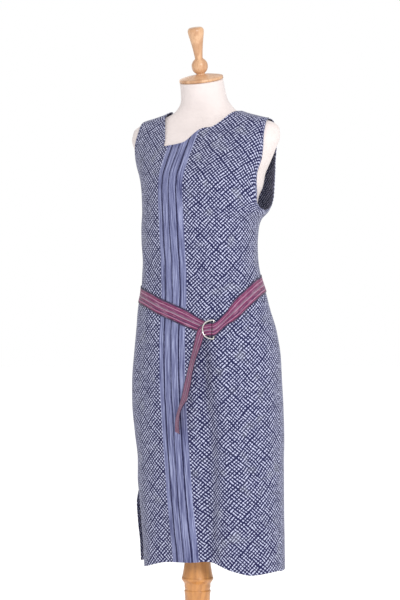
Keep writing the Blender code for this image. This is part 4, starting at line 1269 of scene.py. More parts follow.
def belt_height(angle):
    """Height of the belt's middle line at this angle from the front middle."""
    angle = (angle + 180.0) % 360.0 - 180.0
    return read(BELT_PATH, BELT_PATH_COLUMNS, "angle", "z", angle)


def bar_lifts():
    """How far the middles of the inner and the outer ring's bar lie off the dress."""
    inner = BELT_GAP + BELT_THICKNESS + LAYER_GAP + RING_WIRE / 2
    return inner, inner + RING_WIRE + LAYER_GAP


def tie_radius():
    """Radius of the dress's bend round the tie."""
    a, _ = belt_place(TIE_ANGLE - 1.0, TIE_HEIGHT, 0.0)
    b, _ = belt_place(TIE_ANGLE + 1.0, TIE_HEIGHT, 0.0)
    return (b - a).length / math.radians(2.0)


def tie_place(along, up, lift):
    """A point near the tie: distance along the dress, height over the tie and lift."""
    angle = TIE_ANGLE + math.degrees(along / tie_radius())
    return belt_place(angle, TIE_HEIGHT + up, lift)


def tie_up():
    """The straight upward direction of the two rings' bars."""
    bar, outward = tie_place(0.0, 0.0, 0.0)
    tip, _ = tie_place(-RING_DEPTH, 0.0, 0.0)
    return outward.cross(bar - tip).normalized()


def skin_tree(objects):
    """A search tree of the faces of several objects."""
    points = []
    faces = []
    for obj in objects:
        first = len(points)
        points += [vertex.co.copy() for vertex in obj.data.vertices]
        faces += [tuple(first + i for i in polygon.vertices) for polygon in obj.data.polygons]
    return BVHTree.FromPolygons(points, faces)


def bowed(across, count):
    """count points on the curve through a station's three points."""
    low, middle, high = across
    line = []
    for t in spread(-1.0, 1.0, count):
        line.append(low * (t * (t - 1.0) / 2) + middle * (1.0 - t * t) + high * (t * (t + 1.0) / 2))
    return line


def eased(values, steps, closed=False):
    """A smooth line through arrays of points, steps pieces to each stretch."""
    values = np.asarray(values, float)
    count = len(values)
    made = []
    for k in range(count if closed else count - 1):
        if closed:
            a, b, c, d = (values[(k + n) % count] for n in (-1, 0, 1, 2))
        else:
            b, c = values[k], values[k + 1]
            a = values[k - 1] if k else 2 * b - c
            d = values[k + 2] if k + 2 < count else 2 * c - b
        for n in range(steps):
            t = n / steps
            turn = 2 * b + (c - a) * t + (2 * a - 5 * b + 4 * c - d) * t * t
            made.append((turn + (3 * b - a - 3 * c + d) * t**3) / 2)
    if not closed:
        made.append(values[-1])
    return np.array(made)


def belt_stations(skin):
    """The belt's cross lines from the tab's end, round the rings and the dress, to the free end."""
    half = BELT_THICKNESS / 2
    low = BELT_GAP + half
    inner_bar, outer_bar = bar_lifts()
    clear = RING_WIRE / 2 + LAYER_GAP + half
    high = outer_bar + clear
    radius = tie_radius()
    stations = []

    def slope_at(angle):
        rise = belt_height(angle + 1.0) - belt_height(angle - 1.0)
        return rise / (radius * math.radians(2.0))

    def add_upright(angle, lift, normal=None):
        """A cross line that stands upright at the tie and follows the dress away from it."""
        middle, outward = belt_place(angle, belt_height(angle), lift)
        away = abs((angle - TIE_ANGLE + 180.0) % 360.0 - 180.0)
        beyond = max(away - TIE_REACH, 0.0)
        wide = TIE_WIDTH + (BELT_WIDTH - TIE_WIDTH) * min(beyond / 12.0, 1.0)
        tall = wide / 2 * min(math.hypot(1.0, slope_at(angle)), 1.0 + 0.02 * beyond)
        above, _ = belt_place(angle, belt_height(angle) + tall, lift)
        below, _ = belt_place(angle, belt_height(angle) - tall, lift)
        follow = min(max((away - 9.5) / 6.0, 0.0), 1.0)
        above = above * follow + (middle + tie_up() * tall) * (1.0 - follow)
        below = below * follow + (middle - tie_up() * tall) * (1.0 - follow)
        line = bowed((below, middle, above), ACROSS)
        stations.append((line, outward if normal is None else normal))

    def add_resting(angle):
        """A cross line whose points all lie the belt's own gap off the cloth."""
        add_upright(angle, low)
        line, outward = stations.pop()
        settled = []
        for point in line:
            inside = point - outward * half
            near, face_normal, _, _ = skin.find_nearest(inside)
            height = (inside - near).dot(face_normal)
            settled.append(point + outward * (BELT_GAP - height))
        stations.append((settled, outward * -1.0))

    def angle_at(along):
        return TIE_ANGLE + math.degrees(along / radius)

    def around(along, lift, tangent_share, normal_share):
        """A cross line at the rings, its face turned by shares of the tangent and the normal."""
        angle = angle_at(along)
        a, outward = belt_place(angle, belt_height(angle), 0.0)
        b, _ = belt_place(angle + 1.0, belt_height(angle), 0.0)
        tangent = (b - a).normalized()
        add_upright(angle, lift, (outward * normal_share + tangent * tangent_share).normalized())

    # The tab's end over the belt, then over and round both bars and under them.
    over = low + BELT_THICKNESS + LAYER_GAP
    slant = clear * SLANT
    add_upright(angle_at(0.036), over + 0.0002)
    add_upright(angle_at(0.026), over + 0.0004)
    for turn in (
        (0.018, over + 0.0016, 0.25, 1.0),
        (0.0105, (over + high) / 2 + 0.0012, 0.6, 1.0),
        (0.0045, high - 0.0006, 0.3, 1.0),
        (0.0, high, 0.0, 1.0),
        (-slant, outer_bar + slant, -1.0, 1.0),
        (-clear, outer_bar, -1.0, 0.0),
        (-clear, inner_bar, -1.0, 0.0),
        (-slant, inner_bar - slant, -1.0, -1.0),
        (0.0, low, 0.0, -1.0),
        (0.012, low, 0.0, -1.0),
        (0.022, low, 0.0, -1.0),
    ):
        around(*turn)
    # Round the body.
    first = angle_at(0.033)
    last = angle_at(-0.043) + 360.0
    for angle in spread(first + 1.0, last - 1.0, 150):
        add_resting(angle)
    # Up through the rings and back over the inner one.
    fold = 0.0080
    rise = inner_bar + clear - low
    bend = rise / 2
    for turn in (
        (-0.034, low, 0.0, -1.0),
        (-0.026, low, 0.0, -1.0),
        (-0.016, low, 0.0, -1.0),
        (-fold, low, 0.0, -1.0),
        (-fold + bend * SLANT, low + bend * (1.0 - SLANT), 1.0, -1.0),
        (-fold + bend, low + bend, 1.0, 0.0),
        (-fold + bend * SLANT, low + bend * (1.0 + SLANT), 1.0, 1.0),
        (-fold, low + rise, 0.0, 1.0),
    ):
        around(*turn)
    # The hanging end.
    for row in TAIL:
        values = dict(zip(TAIL_COLUMNS, row))
        middle, outward = tie_place(values["along"], values["down"], values["lift"])
        right, _ = tie_place(values["along"] + 0.002, values["down"], values["lift"])
        tangent = (right - middle).normalized()
        up = outward.cross(tangent).normalized()
        turn = math.radians(values["turn"])
        twist = math.radians(values["twist"])
        flat = up * math.cos(turn) - tangent * math.sin(turn)
        cross = flat * math.cos(twist) + outward * math.sin(twist)
        normal = outward * math.cos(twist) - flat * math.sin(twist)
        half_wide = values["wide"] / 2 * cross
        stations.append((bowed((middle - half_wide, middle, middle + half_wide), ACROSS), normal))
    return stations


def build_belt(cloth, material):
    """The woven belt as one closed band with soft edges."""
    stations = belt_stations(skin_tree(cloth))
    lines = eased([[tuple(p) for p in line] for line, _ in stations], 3)
    normals = eased([tuple(normal) for _, normal in stations], 3)
    normals /= np.linalg.norm(normals, axis=1)[:, None]
    middle = lines[:, ACROSS // 2]
    along = np.concatenate([[0.0], np.cumsum(np.linalg.norm(np.diff(middle, axis=0), axis=1))])
    half = BELT_THICKNESS / 2
    widths = spread(-BELT_WIDTH / 2, BELT_WIDTH / 2, ACROSS)
    points = []
    uvs = []
    for line, normal, length in zip(lines, normals, along):
        edge = (line[-1] - line[0]) / np.linalg.norm(line[-1] - line[0]) * half * 0.8
        ring = [p + normal * half for p in line] + [line[-1] + edge]
        ring += [p - normal * half for p in line[::-1]] + [line[0] - edge]
        points += ring
        uvs += [(length, w) for w in widths + widths[-1:] + widths[::-1] + widths[:1]]
    per = 2 * ACROSS + 2
    faces = []
    for k in range(len(lines) - 1):
        for n in range(per):
            beside = (n + 1) % per
            faces.append((k * per + n, k * per + per + n, k * per + per + beside, k * per + beside))
    for start in (0, (len(lines) - 1) * per):
        for n in range(ACROSS - 1):
            low = 2 * ACROSS - n
            faces.append((start + n, start + n + 1, start + low - 1, start + low))
        faces.append((start + ACROSS - 1, start + ACROSS, start + ACROSS + 1))
        faces.append((start + per - 1, start, start + per - 2))
        if start == 0:
            continue
        capped = ACROSS + 1
        faces[-capped:] = [face[::-1] for face in faces[-capped:]]
    points = [Vector(p) for p in points]
    faces = face_outwards(points, faces)
    obj = add_piece("belt_band", points, faces, material, uvs=uvs)
    return {"piece": obj, "lines": lines, "normals": normals}


def build_ring(name, bar_lift, arc_lift, material):
    """A D of round wire: a straight bar in the belt's tab and an arc to its right-hand side."""
    bar, _ = tie_place(0.0, 0.0, bar_lift)
    tip, _ = tie_place(-RING_DEPTH, 0.0, arc_lift)
    depth = tip - bar
    reach = depth.length
    depth.normalize()
    up = tie_up()
    depth = (depth - up * depth.dot(up)).normalized()
    corner = RING_CORNER
    outline = [(0.0, share * (RING_HALF_HEIGHT - corner)) for share in spread(-1.0, 1.0, 6)]
    for turn in spread(0.0, 180.0, 21):
        sine = math.sin(math.radians(turn))
        cosine = math.cos(math.radians(turn))
        across = RING_HALF_HEIGHT * math.copysign(abs(cosine) ** 0.85, cosine)
        outline.append((corner * 0.6 + (reach - corner * 0.6) * sine**0.9, across))
    path = eased([tuple(bar + depth * along + up * across) for along, across in outline], 5, True)
    plane = np.array(depth.cross(up).normalized())
    points = []
    count = len(path)
    for k, middle in enumerate(path):
        tangent = path[(k + 1) % count] - path[k - 1]
        inward = np.cross(plane, tangent / np.linalg.norm(tangent))
        for turn in spread(0.0, 2 * math.pi, RING_SIDES + 1)[:-1]:
            away = inward * math.cos(turn) + plane * math.sin(turn)
            points.append(Vector(middle + away * RING_WIRE / 2))
    faces = []
    for k in range(count):
        here = k * RING_SIDES
        after = (k + 1) % count * RING_SIDES
        for side in range(RING_SIDES):
            beside = (side + 1) % RING_SIDES
            faces.append((here + side, here + beside, after + beside, after + side))
    return add_piece(name, points, face_outwards(points, faces), material)


def build_torso(settings, material):
    """The limbless torso and neck under jersey, its cut ends rounded over and closed."""
    tilt = math.tan(math.radians(NECK_TILT))
    first = FORM_LEVELS[0][0]
    last = FORM_LEVELS[-1][0]
    curve = settings.form_edge
    ends = [(0.0, share, 0.0) for share in (0.92, 0.7, 0.45, 0.2)]
    for turn in spread(0.0, 90.0, 6)[:-1]:
        turn = math.radians(turn)
        ends.append((curve * (1.0 - math.cos(turn)), 0.0, curve * (1.0 - math.sin(turn))))
    rows = [(first + rise, share, inset) for rise, share, inset in ends]
    rows += [(z, 0.0, 0.0) for z in spread(first + curve, last - curve, 190)]
    rows += [(last - rise, share, inset) for rise, share, inset in reversed(ends)]
    points = []
    sides = settings.form_sides
    length = 0.0
    lengths = []
    for z, share, inset in rows:
        width = form_level("half_width", z)
        centre_y = form_level("centre_y", z)
        lean = min(max((z - NECK_FOOT_Z) / (NECK_TOP_Z - NECK_FOOT_Z), 0.0), 1.0)
        for k in range(sides):
            turn = 2 * math.pi * k / sides + math.pi
            sine = math.sin(turn)
            cosine = math.cos(turn)
            depth = form_level("front" if cosine > 0 else "back", z)
            keep_x = (1.0 - share) * (1.0 - inset / width)
            keep_y = (1.0 - share) * (1.0 - inset / depth)
            x = form_level("centre_x", z) + width * keep_x * sine
            y = centre_y - depth * keep_y * cosine
            points.append(Vector((x, y, z + tilt * (y - centre_y) * lean)))
        if len(points) > sides:
            length += (points[-sides] - points[-2 * sides]).length
        lengths.append(length)
    faces = []
    corners = []
    for row in range(len(rows) - 1):
        for k in range(sides):
            beside = (k + 1) % sides
            a = row * sides
            b = a + sides
            faces.append((a + k, a + beside, b + beside, b + k))
            low, high = lengths[row], lengths[row + 1]
            u, v = FORM_GIRTH * k / sides, FORM_GIRTH * (k + 1) / sides
            corners += [(u, low), (v, low), (v, high), (u, high)]
    top = (len(rows) - 1) * sides
    for ring in (0, top):
        middle = sum((points[ring + k] for k in range(sides)), Vector()) / sides
        centre = len(points)
        points.append(middle)
        for k in range(sides):
            beside = (k + 1) % sides
            face = (ring + k, ring + beside, centre)
            faces.append(face if ring else face[::-1])
            at = lengths[-1] if ring else 0.0
            corners += [(FORM_GIRTH * k / sides, at)] * 3
    if face_outwards(points, faces) is not faces:
        raise RuntimeError("The torso's faces point in")
    obj = add_piece("torso_cover", points, faces, material)
    layer = obj.data.uv_layers.new(name="UVMap")
    layer.data.foreach_set("uv", np.array(corners, np.float32).ravel())
    return obj


def fine_profile(profile):
    """A turning profile with its curves made smooth and its corners slightly broken."""
    profile = [np.array(p, float) for p in profile]
    runs = [[profile[0]]]
    for before, here, after in zip(profile, profile[1:], profile[2:]):
        into = here - before
        out = after - here
        cosine = into.dot(out) / (np.linalg.norm(into) * np.linalg.norm(out))
        if cosine > math.cos(math.radians(CORNER_TURN)):
            runs[-1].append(here)
            continue
        trim = min(CORNER_TRIM, 0.3 * np.linalg.norm(into), 0.3 * np.linalg.norm(out))
        start = here - into / np.linalg.norm(into) * trim
        end = here + out / np.linalg.norm(out) * trim
        runs[-1].append(start)
        runs.append([start, (start + end) / 4 + here / 2, end])
        runs.append([end])
    runs[-1].append(profile[-1])
    made = []
    for run in runs:
        if len(run) == 2:
            pieces = max(1, int(np.linalg.norm(run[1] - run[0]) / LATHE_STEP))
            line = [run[0] + (run[1] - run[0]) * n / pieces for n in range(pieces + 1)]
        elif len(run) == 3 and np.linalg.norm(run[2] - run[0]) < 3 * CORNER_TRIM:
            line = run
        else:
            line = list(eased(run, 4))
        made += line[1:] if made else line
    return [(float(along), max(float(radius), 0.0)) for along, radius in made]


def turned(name, profile, place, sides, material):
    """A solid turned from a profile that starts and ends on its axis."""
    points = []
    rings = []
    for number, (along, radius) in enumerate(profile):
        if number in (0, len(profile) - 1):
            rings.append([len(points)])
            points.append(place @ Vector((0.0, 0.0, along)))
            continue
        ring = []
        for k in range(sides):
            turn = 2 * math.pi * k / sides
            ring.append(len(points))
            points.append(place @ Vector((radius * math.cos(turn), radius * math.sin(turn), along)))
        rings.append(ring)
    faces = []
    for low, high in zip(rings, rings[1:]):
        for k in range(sides):
            beside = (k + 1) % sides
            if len(low) == 1:
                faces.append((low[0], high[beside], high[k]))
            elif len(high) == 1:
                faces.append((low[k], low[beside], high[0]))
            else:
                faces.append((low[k], low[beside], high[beside], high[k]))
    return add_piece(name, points, face_outwards(points, faces), material)


def build_stand(settings):
    """The base, the post up to the torso, and the neck knob on its tilted top."""
    sides = settings.turned_sides
    upright = (1.0, 1.0, GRAIN_STRETCH)
    level = (GRAIN_STRETCH, 1.0, 1.0)
    deep = tuple(settings.wood_grain)
    knob_wood = wood_material("turned_wood_knob", tuple(settings.wood_light), deep, upright)
    post_wood = wood_material("turned_wood_post", tuple(settings.wood_post), deep, upright)
    base_wood = wood_material("turned_wood_base", tuple(settings.wood_post), deep, level)
    base_profile = [(max(along, 0.0), radius) for along, radius in fine_profile(BASE_PROFILE)]
    base = turned("base_turned", base_profile, Matrix.Identity(4), sides, base_wood)
    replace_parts(base, "base")
    top = TORSO_BOTTOM_Z - FIT_GAP
    start = BASE_HEIGHT + FIT_GAP
    profile = list(POST_PROFILE) + [(top - start, POST_TOP_RADIUS), (top - start, 0.0)]
    foot = Matrix.Translation((0.0, 0.0, start))
    post = turned("post_turned", fine_profile(profile), foot, sides, post_wood)
    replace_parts(post, "post")
    tilt = Matrix.Rotation(math.radians(NECK_TILT), 4, "X")
    seat = Vector((0.0, form_level("centre_y", NECK_TOP_Z), NECK_TOP_Z))
    axis = tilt @ Vector((0.0, 0.0, 1.0))
    place = Matrix.Translation(seat + axis * FIT_GAP) @ tilt
    knob = turned("knob_turned", fine_profile(KNOB_PROFILE), place, sides, knob_wood)
    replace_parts(knob, "neck_knob")


def stitch_tree():
    """Geometry nodes that lay small rounded stitches along paths."""
    tree = bpy.data.node_groups.new("sewn_row", "GeometryNodeTree")
    face = tree.interface
    face.new_socket("Paths", in_out="INPUT", socket_type="NodeSocketGeometry")
    for name in ("Pitch", "Stitch Length", "Thread Width"):
        face.new_socket(name, in_out="INPUT", socket_type="NodeSocketFloat")
    face.new_socket("Seed", in_out="INPUT", socket_type="NodeSocketInt")
    face.new_socket("Thread", in_out="INPUT", socket_type="NodeSocketMaterial")
    face.new_socket("Stitches", in_out="OUTPUT", socket_type="NodeSocketGeometry")
    nodes = tree.nodes
    given = nodes.new("NodeGroupInput")
    curve = nodes.new("GeometryNodeMeshToCurve")
    marks = nodes.new("GeometryNodeCurveToPoints")
    marks.mode = "LENGTH"
    bead = nodes.new("GeometryNodeMeshUVSphere")
    for name, value in (("Segments", 6), ("Rings", 5), ("Radius", 0.5)):
        bead.inputs[name].default_value = value
    soft = nodes.new("GeometryNodeSetShadeSmooth")
    size = nodes.new("ShaderNodeCombineXYZ")
    shape = nodes.new("GeometryNodeTransform")
    vary = nodes.new("FunctionNodeRandomValue")
    vary.data_type = "FLOAT_VECTOR"
    vary.inputs[0].default_value = (0.94, 0.94, 0.88)
    vary.inputs[1].default_value = (1.06, 1.06, 1.05)
    place = nodes.new("GeometryNodeInstanceOnPoints")
    real = nodes.new("GeometryNodeRealizeInstances")
    paint = nodes.new("GeometryNodeSetMaterial")
    result = nodes.new("NodeGroupOutput")
    seed = next(socket for socket in vary.inputs if socket.name == "Seed")
    for output, socket in (
        (given.outputs["Paths"], curve.inputs["Mesh"]),
        (curve.outputs["Curve"], marks.inputs["Curve"]),
        (given.outputs["Pitch"], marks.inputs["Length"]),
        (given.outputs["Thread Width"], size.inputs[0]),
        (given.outputs["Thread Width"], size.inputs[1]),
        (given.outputs["Stitch Length"], size.inputs[2]),
        (bead.outputs["Mesh"], soft.inputs["Geometry"]),
        (soft.outputs["Geometry"], shape.inputs["Geometry"]),
        (size.outputs[0], shape.inputs["Scale"]),
        (marks.outputs["Points"], place.inputs["Points"]),
        (marks.outputs["Rotation"], place.inputs["Rotation"]),
        (shape.outputs["Geometry"], place.inputs["Instance"]),
        (given.outputs["Seed"], seed),
        (vary.outputs[0], place.inputs["Scale"]),
        (place.outputs["Instances"], real.inputs["Geometry"]),
        (real.outputs["Geometry"], paint.inputs["Geometry"]),
        (given.outputs["Thread"], paint.inputs["Material"]),
        (paint.outputs["Geometry"], result.inputs["Stitches"]),
    ):
        tree.links.new(output, socket)
    return tree


def sew(name, paths, settings, material, tree, seed):
    """One piece of plain mesh stitches along several paths of points."""
    points = []
    edges = []
    for path in paths:
        first = len(points)
        points += [tuple(p) for p in path]
        edges += [(first + k, first + k + 1) for k in range(len(path) - 1)]
    mesh = bpy.data.meshes.new(name + "_paths")
    mesh.from_pydata(points, edges, [])
    obj = bpy.data.objects.new(name, mesh)
    bpy.context.scene.collection.objects.link(obj)
    modifier = obj.modifiers.new("Sewing", "NODES")
    modifier.node_group = tree
    values = {
        "Pitch": settings.stitch_pitch,
        "Stitch Length": settings.stitch_length,
        "Thread Width": settings.thread_width,
        "Seed": seed,
        "Thread": material,
    }
    for item in tree.interface.items_tree:
        if item.in_out == "INPUT" and item.name in values:
            modifier[item.identifier] = values[item.name]
    evaluated = obj.evaluated_get(bpy.context.evaluated_depsgraph_get())
    made = bpy.data.meshes.new_from_object(evaluated)
    obj.modifiers.remove(modifier)
    obj.data = made
    made.name = name
    bpy.data.meshes.remove(mesh)
    return finish_piece(obj)


def walked(numbers, skin, normals, distance, lift):
    """The point this far along a row of numbered skin points, lifted off the cloth."""
    gone = 0.0
    for a, b in zip(numbers, numbers[1:]):
        step = float(np.linalg.norm(skin[b] - skin[a]))
        if gone + step >= distance:
            t = (distance - gone) / step
            return skin[a] * (1 - t) + skin[b] * t + (normals[a] * (1 - t) + normals[b] * t) * lift
        gone += step
    return skin[numbers[-1]] + normals[numbers[-1]] * lift


def dress_seams(settings):
    """Stitch paths: neck, armholes, slit edges and hem of both panels."""
    lift = settings.thread_width * STITCH_LIFT
    edge = settings.edge_stitch
    paths = []
    for face in ("front", "back"):
        made = MADE[face]
        skin, normals, body = made["skin"], made["normals"], made["body"]
        columns = list(zip(*body))

        def at(numbers, distance, skin=skin, normals=normals):
            return walked(numbers, skin, normals, distance, lift)

        shoulder = made["shoulder_rows"]
        first, last = made["neck"]
        left = [at(row[::-1], edge) for row in body[1 : shoulder + 1]]
        right = [at(row, edge) for row in body[1 : shoulder + 1]]
        if face == "front":
            right = [at(row, edge) for row in reversed(made["strap"])][1:] + right
            inner = [at(row[::-1], edge) for row in reversed(made["strap"])][1:]
            paths.append(inner[:-1])
            paths.append([at(row, edge) for row in columns[first + 1 : last]])
        else:
            paths.append([at(row, edge) for row in columns[first + 2 : last - 1]])
        paths += [left, right]
        paths.append([at(row[::-1], settings.hem_stitch) for row in columns[1:-1]])
        slit = [row for row in body if skin[row[0]][2] < SLIT_TOP_Z - 0.004]
        paths.append([at(row, settings.slit_stitch) for row in slit[:-2]])
    return paths


def build_floor():
    """A pale round floor under the base."""
    material = bpy.data.materials.new("studio_floor")
    material.use_nodes = True
    shader = material.node_tree.nodes["Principled BSDF"]
    for name, value in (
        ("Base Color", (0.97, 0.97, 0.97, 1.0)),
        ("Roughness", 0.9),
        ("Emission Color", WHITE),
        ("Emission Strength", FLOOR_GLOW),
    ):
        shader.inputs[name].default_value = value
    mesh = bpy.data.meshes.new("studio_floor")
    turns = spread(0.0, 2 * math.pi, FLOOR_SIDES + 1)[:-1]
    edge = [(FLOOR_RADIUS * math.cos(t), FLOOR_RADIUS * math.sin(t), 0.0) for t in turns]
    mesh.from_pydata(edge, [], [tuple(range(FLOOR_SIDES))])
    mesh.materials.append(material)
    floor = bpy.data.objects.new("studio_floor", mesh)
    bpy.context.scene.collection.objects.link(floor)


def build_light(room_light):
    """Even light from all round, a white backdrop behind it, and two soft lamps."""
    world = bpy.data.worlds.new("studio")
    world.use_nodes = True
    nodes = world.node_tree.nodes
    room = nodes["Background"]
    room.inputs["Color"].default_value = WHITE
    room.inputs["Strength"].default_value = room_light
    backdrop = nodes.new("ShaderNodeBackground")
    backdrop.inputs["Color"].default_value = WHITE
    either = nodes.new("ShaderNodeMixShader")
    path = nodes.new("ShaderNodeLightPath")
    for output, socket in (
        (path.outputs["Is Camera Ray"], either.inputs[0]),
        (room.outputs[0], either.inputs[1]),
        (backdrop.outputs[0], either.inputs[2]),
        (either.outputs[0], nodes["World Output"].inputs["Surface"]),
    ):
        world.node_tree.links.new(output, socket)
    bpy.context.scene.world = world
    for name, place, size, power in LAMPS:
        lamp = bpy.data.lights.new(name, "AREA")
        lamp.shape = "DISK"
        lamp.size = size
        lamp.energy = power
        obj = bpy.data.objects.new(name, lamp)
        obj.matrix_world = looking(Vector(place), Vector(LAMP_TARGET))
        bpy.context.scene.collection.objects.link(obj)


def looking(place, target):
    """The matrix that puts a lamp or a camera at a place, facing its target."""
    facing = (target - place).to_track_quat("-Z", "Y").to_matrix().to_4x4()
    return Matrix.Translation(place) @ facing


def build_camera():
    """The camera at the photograph's angle, with its frame as wide and as tall."""
    scene = bpy.context.scene
    turn = math.radians(CAMERA_TURN)
    data = bpy.data.cameras.new("photo_camera")
    camera = bpy.data.objects.new("photo_camera", data)
    scene.collection.objects.link(camera)
    place = Vector((math.sin(turn) * CAMERA_AWAY, -math.cos(turn) * CAMERA_AWAY, CAMERA_HEIGHT))
    aside = (PHOTO_WIDE / 2 - FORM_COLUMN) * PIXEL
    target = Vector((aside * math.cos(turn), aside * math.sin(turn), TARGET_HEIGHT))
    data.sensor_fit = "VERTICAL"
    data.angle_y = 2 * math.atan(PHOTO_TALL * PIXEL / 2 / (target - place).length)
    data.clip_end = 60.0
    camera.matrix_world = looking(place, target)
    scene.camera = camera
    scene.view_settings.view_transform = "Standard"


def length_setting(name, text, default, low, high):
    """A length in metres that the sidebar can change."""
    return FloatProperty(
        name=name, description=text, default=default, min=low, max=high,
        subtype="DISTANCE", unit="LENGTH",
    )


def colour_setting(name, text, *display):
    """A colour that the sidebar can change, given as red, green and blue from 0 to 255."""
    return FloatVectorProperty(
        name=name, description=text, default=srgb(*display), min=0.0, max=1.0, size=3,
        subtype="COLOR",
    )


class SheathDressSettings(PropertyGroup):
    """Sizes and colours of the sheath dress and its form."""

    cloth_wall: length_setting("Cloth wall", "Thickness of the dress cloth", 0.0014, 0.0005, 0.003)
    pattern_repeat: length_setting("Pattern repeat", "Side of one batik diamond", 0.052, 0.02, 0.2)
    form_edge: length_setting("Form edge", "Rounding of the torso's cut ends", 0.004, 0.0005, 0.01)
    stitch_pitch: length_setting("Stitch pitch", "From one stitch to the next", 0.0032, 0.001, 0.01)
    stitch_length: length_setting("Stitch length", "Length of one stitch", 0.0023, 0.0005, 0.008)
    thread_width: length_setting("Thread width", "Thickness of the sewing thread", 0.00055, 0.0001, 0.002)
    edge_stitch: length_setting("Edge stitching", "From neck and armhole edges", 0.006, 0.002, 0.02)
    slit_stitch: length_setting("Slit stitching", "From the slit's edges", 0.009, 0.002, 0.03)
    hem_stitch: length_setting("Hem stitching", "From the hem up", 0.020, 0.005, 0.06)
    form_sides: IntProperty(
        name="Form sides", description="Points round the torso", default=168, min=24, max=400
    )
    turned_sides: IntProperty(
        name="Turned sides", description="Points round turned wood", default=96, min=16, max=256
    )
    room_light: FloatProperty(
        name="Room light", description="Strength of the even light", default=0.79, min=0.0, max=3.0
    )
    indigo_dark: colour_setting("Indigo", "Darkest dye of the batik", 20, 21, 66)
    indigo_mid: colour_setting("Mid blue", "Middle tone of the batik", 84, 88, 134)
    wax_light: colour_setting("Wax light", "Ground left pale by the wax", 192, 195, 219)
    belt_edge: colour_setting("Belt edge", "Navy warp at the belt's edges", 36, 29, 62)
    belt_maroon: colour_setting("Belt maroon", "Darkest warp inside the belt", 86, 29, 66)
    belt_red: colour_setting("Belt red", "Brighter warp of the belt", 134, 48, 92)
    belt_pink: colour_setting("Belt pink", "Palest warp of the belt", 190, 138, 168)
    jersey: colour_setting("Jersey", "Cream cover of the form", 231, 220, 217)
    wood_light: colour_setting("Knob wood", "Light wood of the neck knob", 214, 171, 132)
    wood_post: colour_setting("Post wood", "Wood of the post and base", 206, 143, 80)
    wood_grain: colour_setting("Wood grain", "Darker grain of the wood", 158, 102, 60)
    nickel: colour_setting("Nickel", "Plating of the rings", 216, 214, 210)


class SHEATH_OT_dress(Operator):
    """Sew the front and back of the dress"""

    bl_idname = "sheath.dress"
    bl_label = "Dress Panels"

    def execute(self, context):
        settings = context.scene.sheath_dress
        material = batik_material(settings)
        MADE["front"] = build_front(settings, material)
        MADE["back"] = build_back(settings, material)
        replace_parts(MADE["front"]["piece"], "dress_front")
        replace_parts(MADE["back"]["piece"], "dress_back")
        return {"FINISHED"}


class SHEATH_OT_belt(Operator):
    """Weave the belt round the waist, through its rings and down to its free end"""

    bl_idname = "sheath.belt"
    bl_label = "Belt"

    def execute(self, context):
        settings = context.scene.sheath_dress
        if "front" not in MADE or "back" not in MADE:
            raise RuntimeError("The belt lies on the dress, so the dress panels come first")
        cloth = [MADE["front"]["piece"], MADE["back"]["piece"]]
        MADE["belt"] = build_belt(cloth, belt_material(settings))
        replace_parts(MADE["belt"]["piece"], "belt_strap")
        return {"FINISHED"}


class SHEATH_OT_rings(Operator):
    """Bend the two D-rings that hold the belt"""

    bl_idname = "sheath.rings"
    bl_label = "Belt Rings"

    def execute(self, context):
        material = nickel_material(context.scene.sheath_dress)
        inner_bar, outer_bar = bar_lifts()
        outer_arc = outer_bar + LAYER_GAP + BELT_THICKNESS + ARC_EASE
        inner = build_ring("ring_inner", inner_bar, inner_bar, material)
        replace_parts(inner, "d_ring_inner")
        outer = build_ring("ring_outer", outer_bar, outer_arc, material)
        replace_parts(outer, "d_ring_outer")
        return {"FINISHED"}


class SHEATH_OT_form(Operator):
    """Cover the limbless torso with jersey"""

    bl_idname = "sheath.form"
    bl_label = "Dress Form"

    def execute(self, context):
        settings = context.scene.sheath_dress
        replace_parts(build_torso(settings, jersey_material(settings)), "form_torso")
        return {"FINISHED"}


class SHEATH_OT_stand(Operator):
    """Turn the neck knob, the post and the base"""

    bl_idname = "sheath.stand"
    bl_label = "Turned Stand"

    def execute(self, context):
        build_stand(context.scene.sheath_dress)
        return {"FINISHED"}


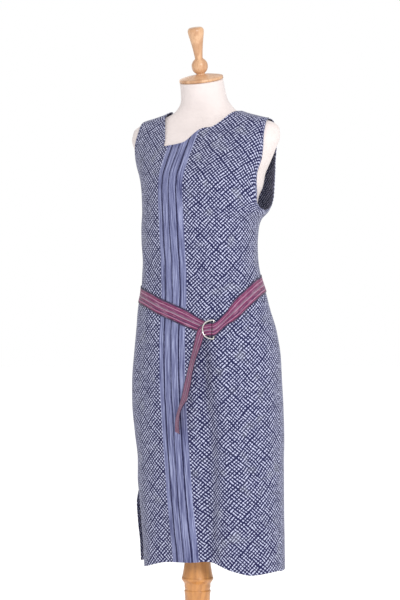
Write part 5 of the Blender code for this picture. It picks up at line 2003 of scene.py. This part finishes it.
class SHEATH_OT_stitches(Operator):
    """Sew the edges of the dress and the tab of the belt"""

    bl_idname = "sheath.stitches"
    bl_label = "Stitches"

    def execute(self, context):
        settings = context.scene.sheath_dress
        if "belt" not in MADE:
            raise RuntimeError("The stitches follow the dress and the belt, so both come first")
        tree = stitch_tree()
        navy = thread_material("sewing_thread_navy", srgb(58, 60, 116))
        wine = thread_material("sewing_thread_wine", srgb(150, 72, 104))
        seams = dress_seams(settings)
        MADE["dress_thread"] = sew("stitches_dress", seams, settings, navy, tree, 11)
        lines, normals = MADE["belt"]["lines"], MADE["belt"]["normals"]
        lift = BELT_THICKNESS / 2 + settings.thread_width * STITCH_LIFT
        rows = [lines[at][1:-1] + normals[at] * lift for at in TAB_ROWS]
        MADE["belt_thread"] = sew("stitches_belt", rows, settings, wine, tree, 12)
        return {"FINISHED"}


class SHEATH_OT_cloth_facts(Operator):
    """A step that builds and states nothing"""

    bl_idname = "sheath.cloth_facts"
    bl_label = "Cloth Facts"

    def execute(self, context):
        return {"FINISHED"}


class SHEATH_OT_stage(Operator):
    """Set the pale floor, the studio light and the camera"""

    bl_idname = "sheath.stage"
    bl_label = "Stage"

    def execute(self, context):
        build_floor()
        build_light(context.scene.sheath_dress.room_light)
        build_camera()
        return {"FINISHED"}


OPERATORS = (
    SHEATH_OT_dress,
    SHEATH_OT_belt,
    SHEATH_OT_rings,
    SHEATH_OT_form,
    SHEATH_OT_stand,
    SHEATH_OT_stitches,
    SHEATH_OT_cloth_facts,
    SHEATH_OT_stage,
)


class SHEATH_PT_dress(Panel):
    """Sizes, colours and steps of the sheath dress"""

    bl_idname = "SHEATH_PT_dress"
    bl_label = "Sheath Dress"
    bl_space_type = "VIEW_3D"
    bl_region_type = "UI"
    bl_category = "Sheath Dress"

    def draw(self, context):
        settings = context.scene.sheath_dress
        for name in SheathDressSettings.__annotations__:
            self.layout.prop(settings, name)
        for operator in OPERATORS:
            self.layout.operator(operator.bl_idname)


CLASSES = (SheathDressSettings, *OPERATORS, SHEATH_PT_dress)


def register():
    for cls in CLASSES:
        bpy.utils.register_class(cls)
    bpy.types.Scene.sheath_dress = PointerProperty(type=SheathDressSettings)


def unregister():
    del bpy.types.Scene.sheath_dress
    for cls in reversed(CLASSES):
        bpy.utils.unregister_class(cls)


def main():
    register()
    bpy.ops.sheath.dress()
    bpy.ops.sheath.belt()
    bpy.ops.sheath.rings()
    bpy.ops.sheath.form()
    bpy.ops.sheath.stand()
    bpy.ops.sheath.stitches()
    bpy.ops.sheath.cloth_facts()
    bpy.ops.sheath.stage()


if __name__ == "__main__":
    main()
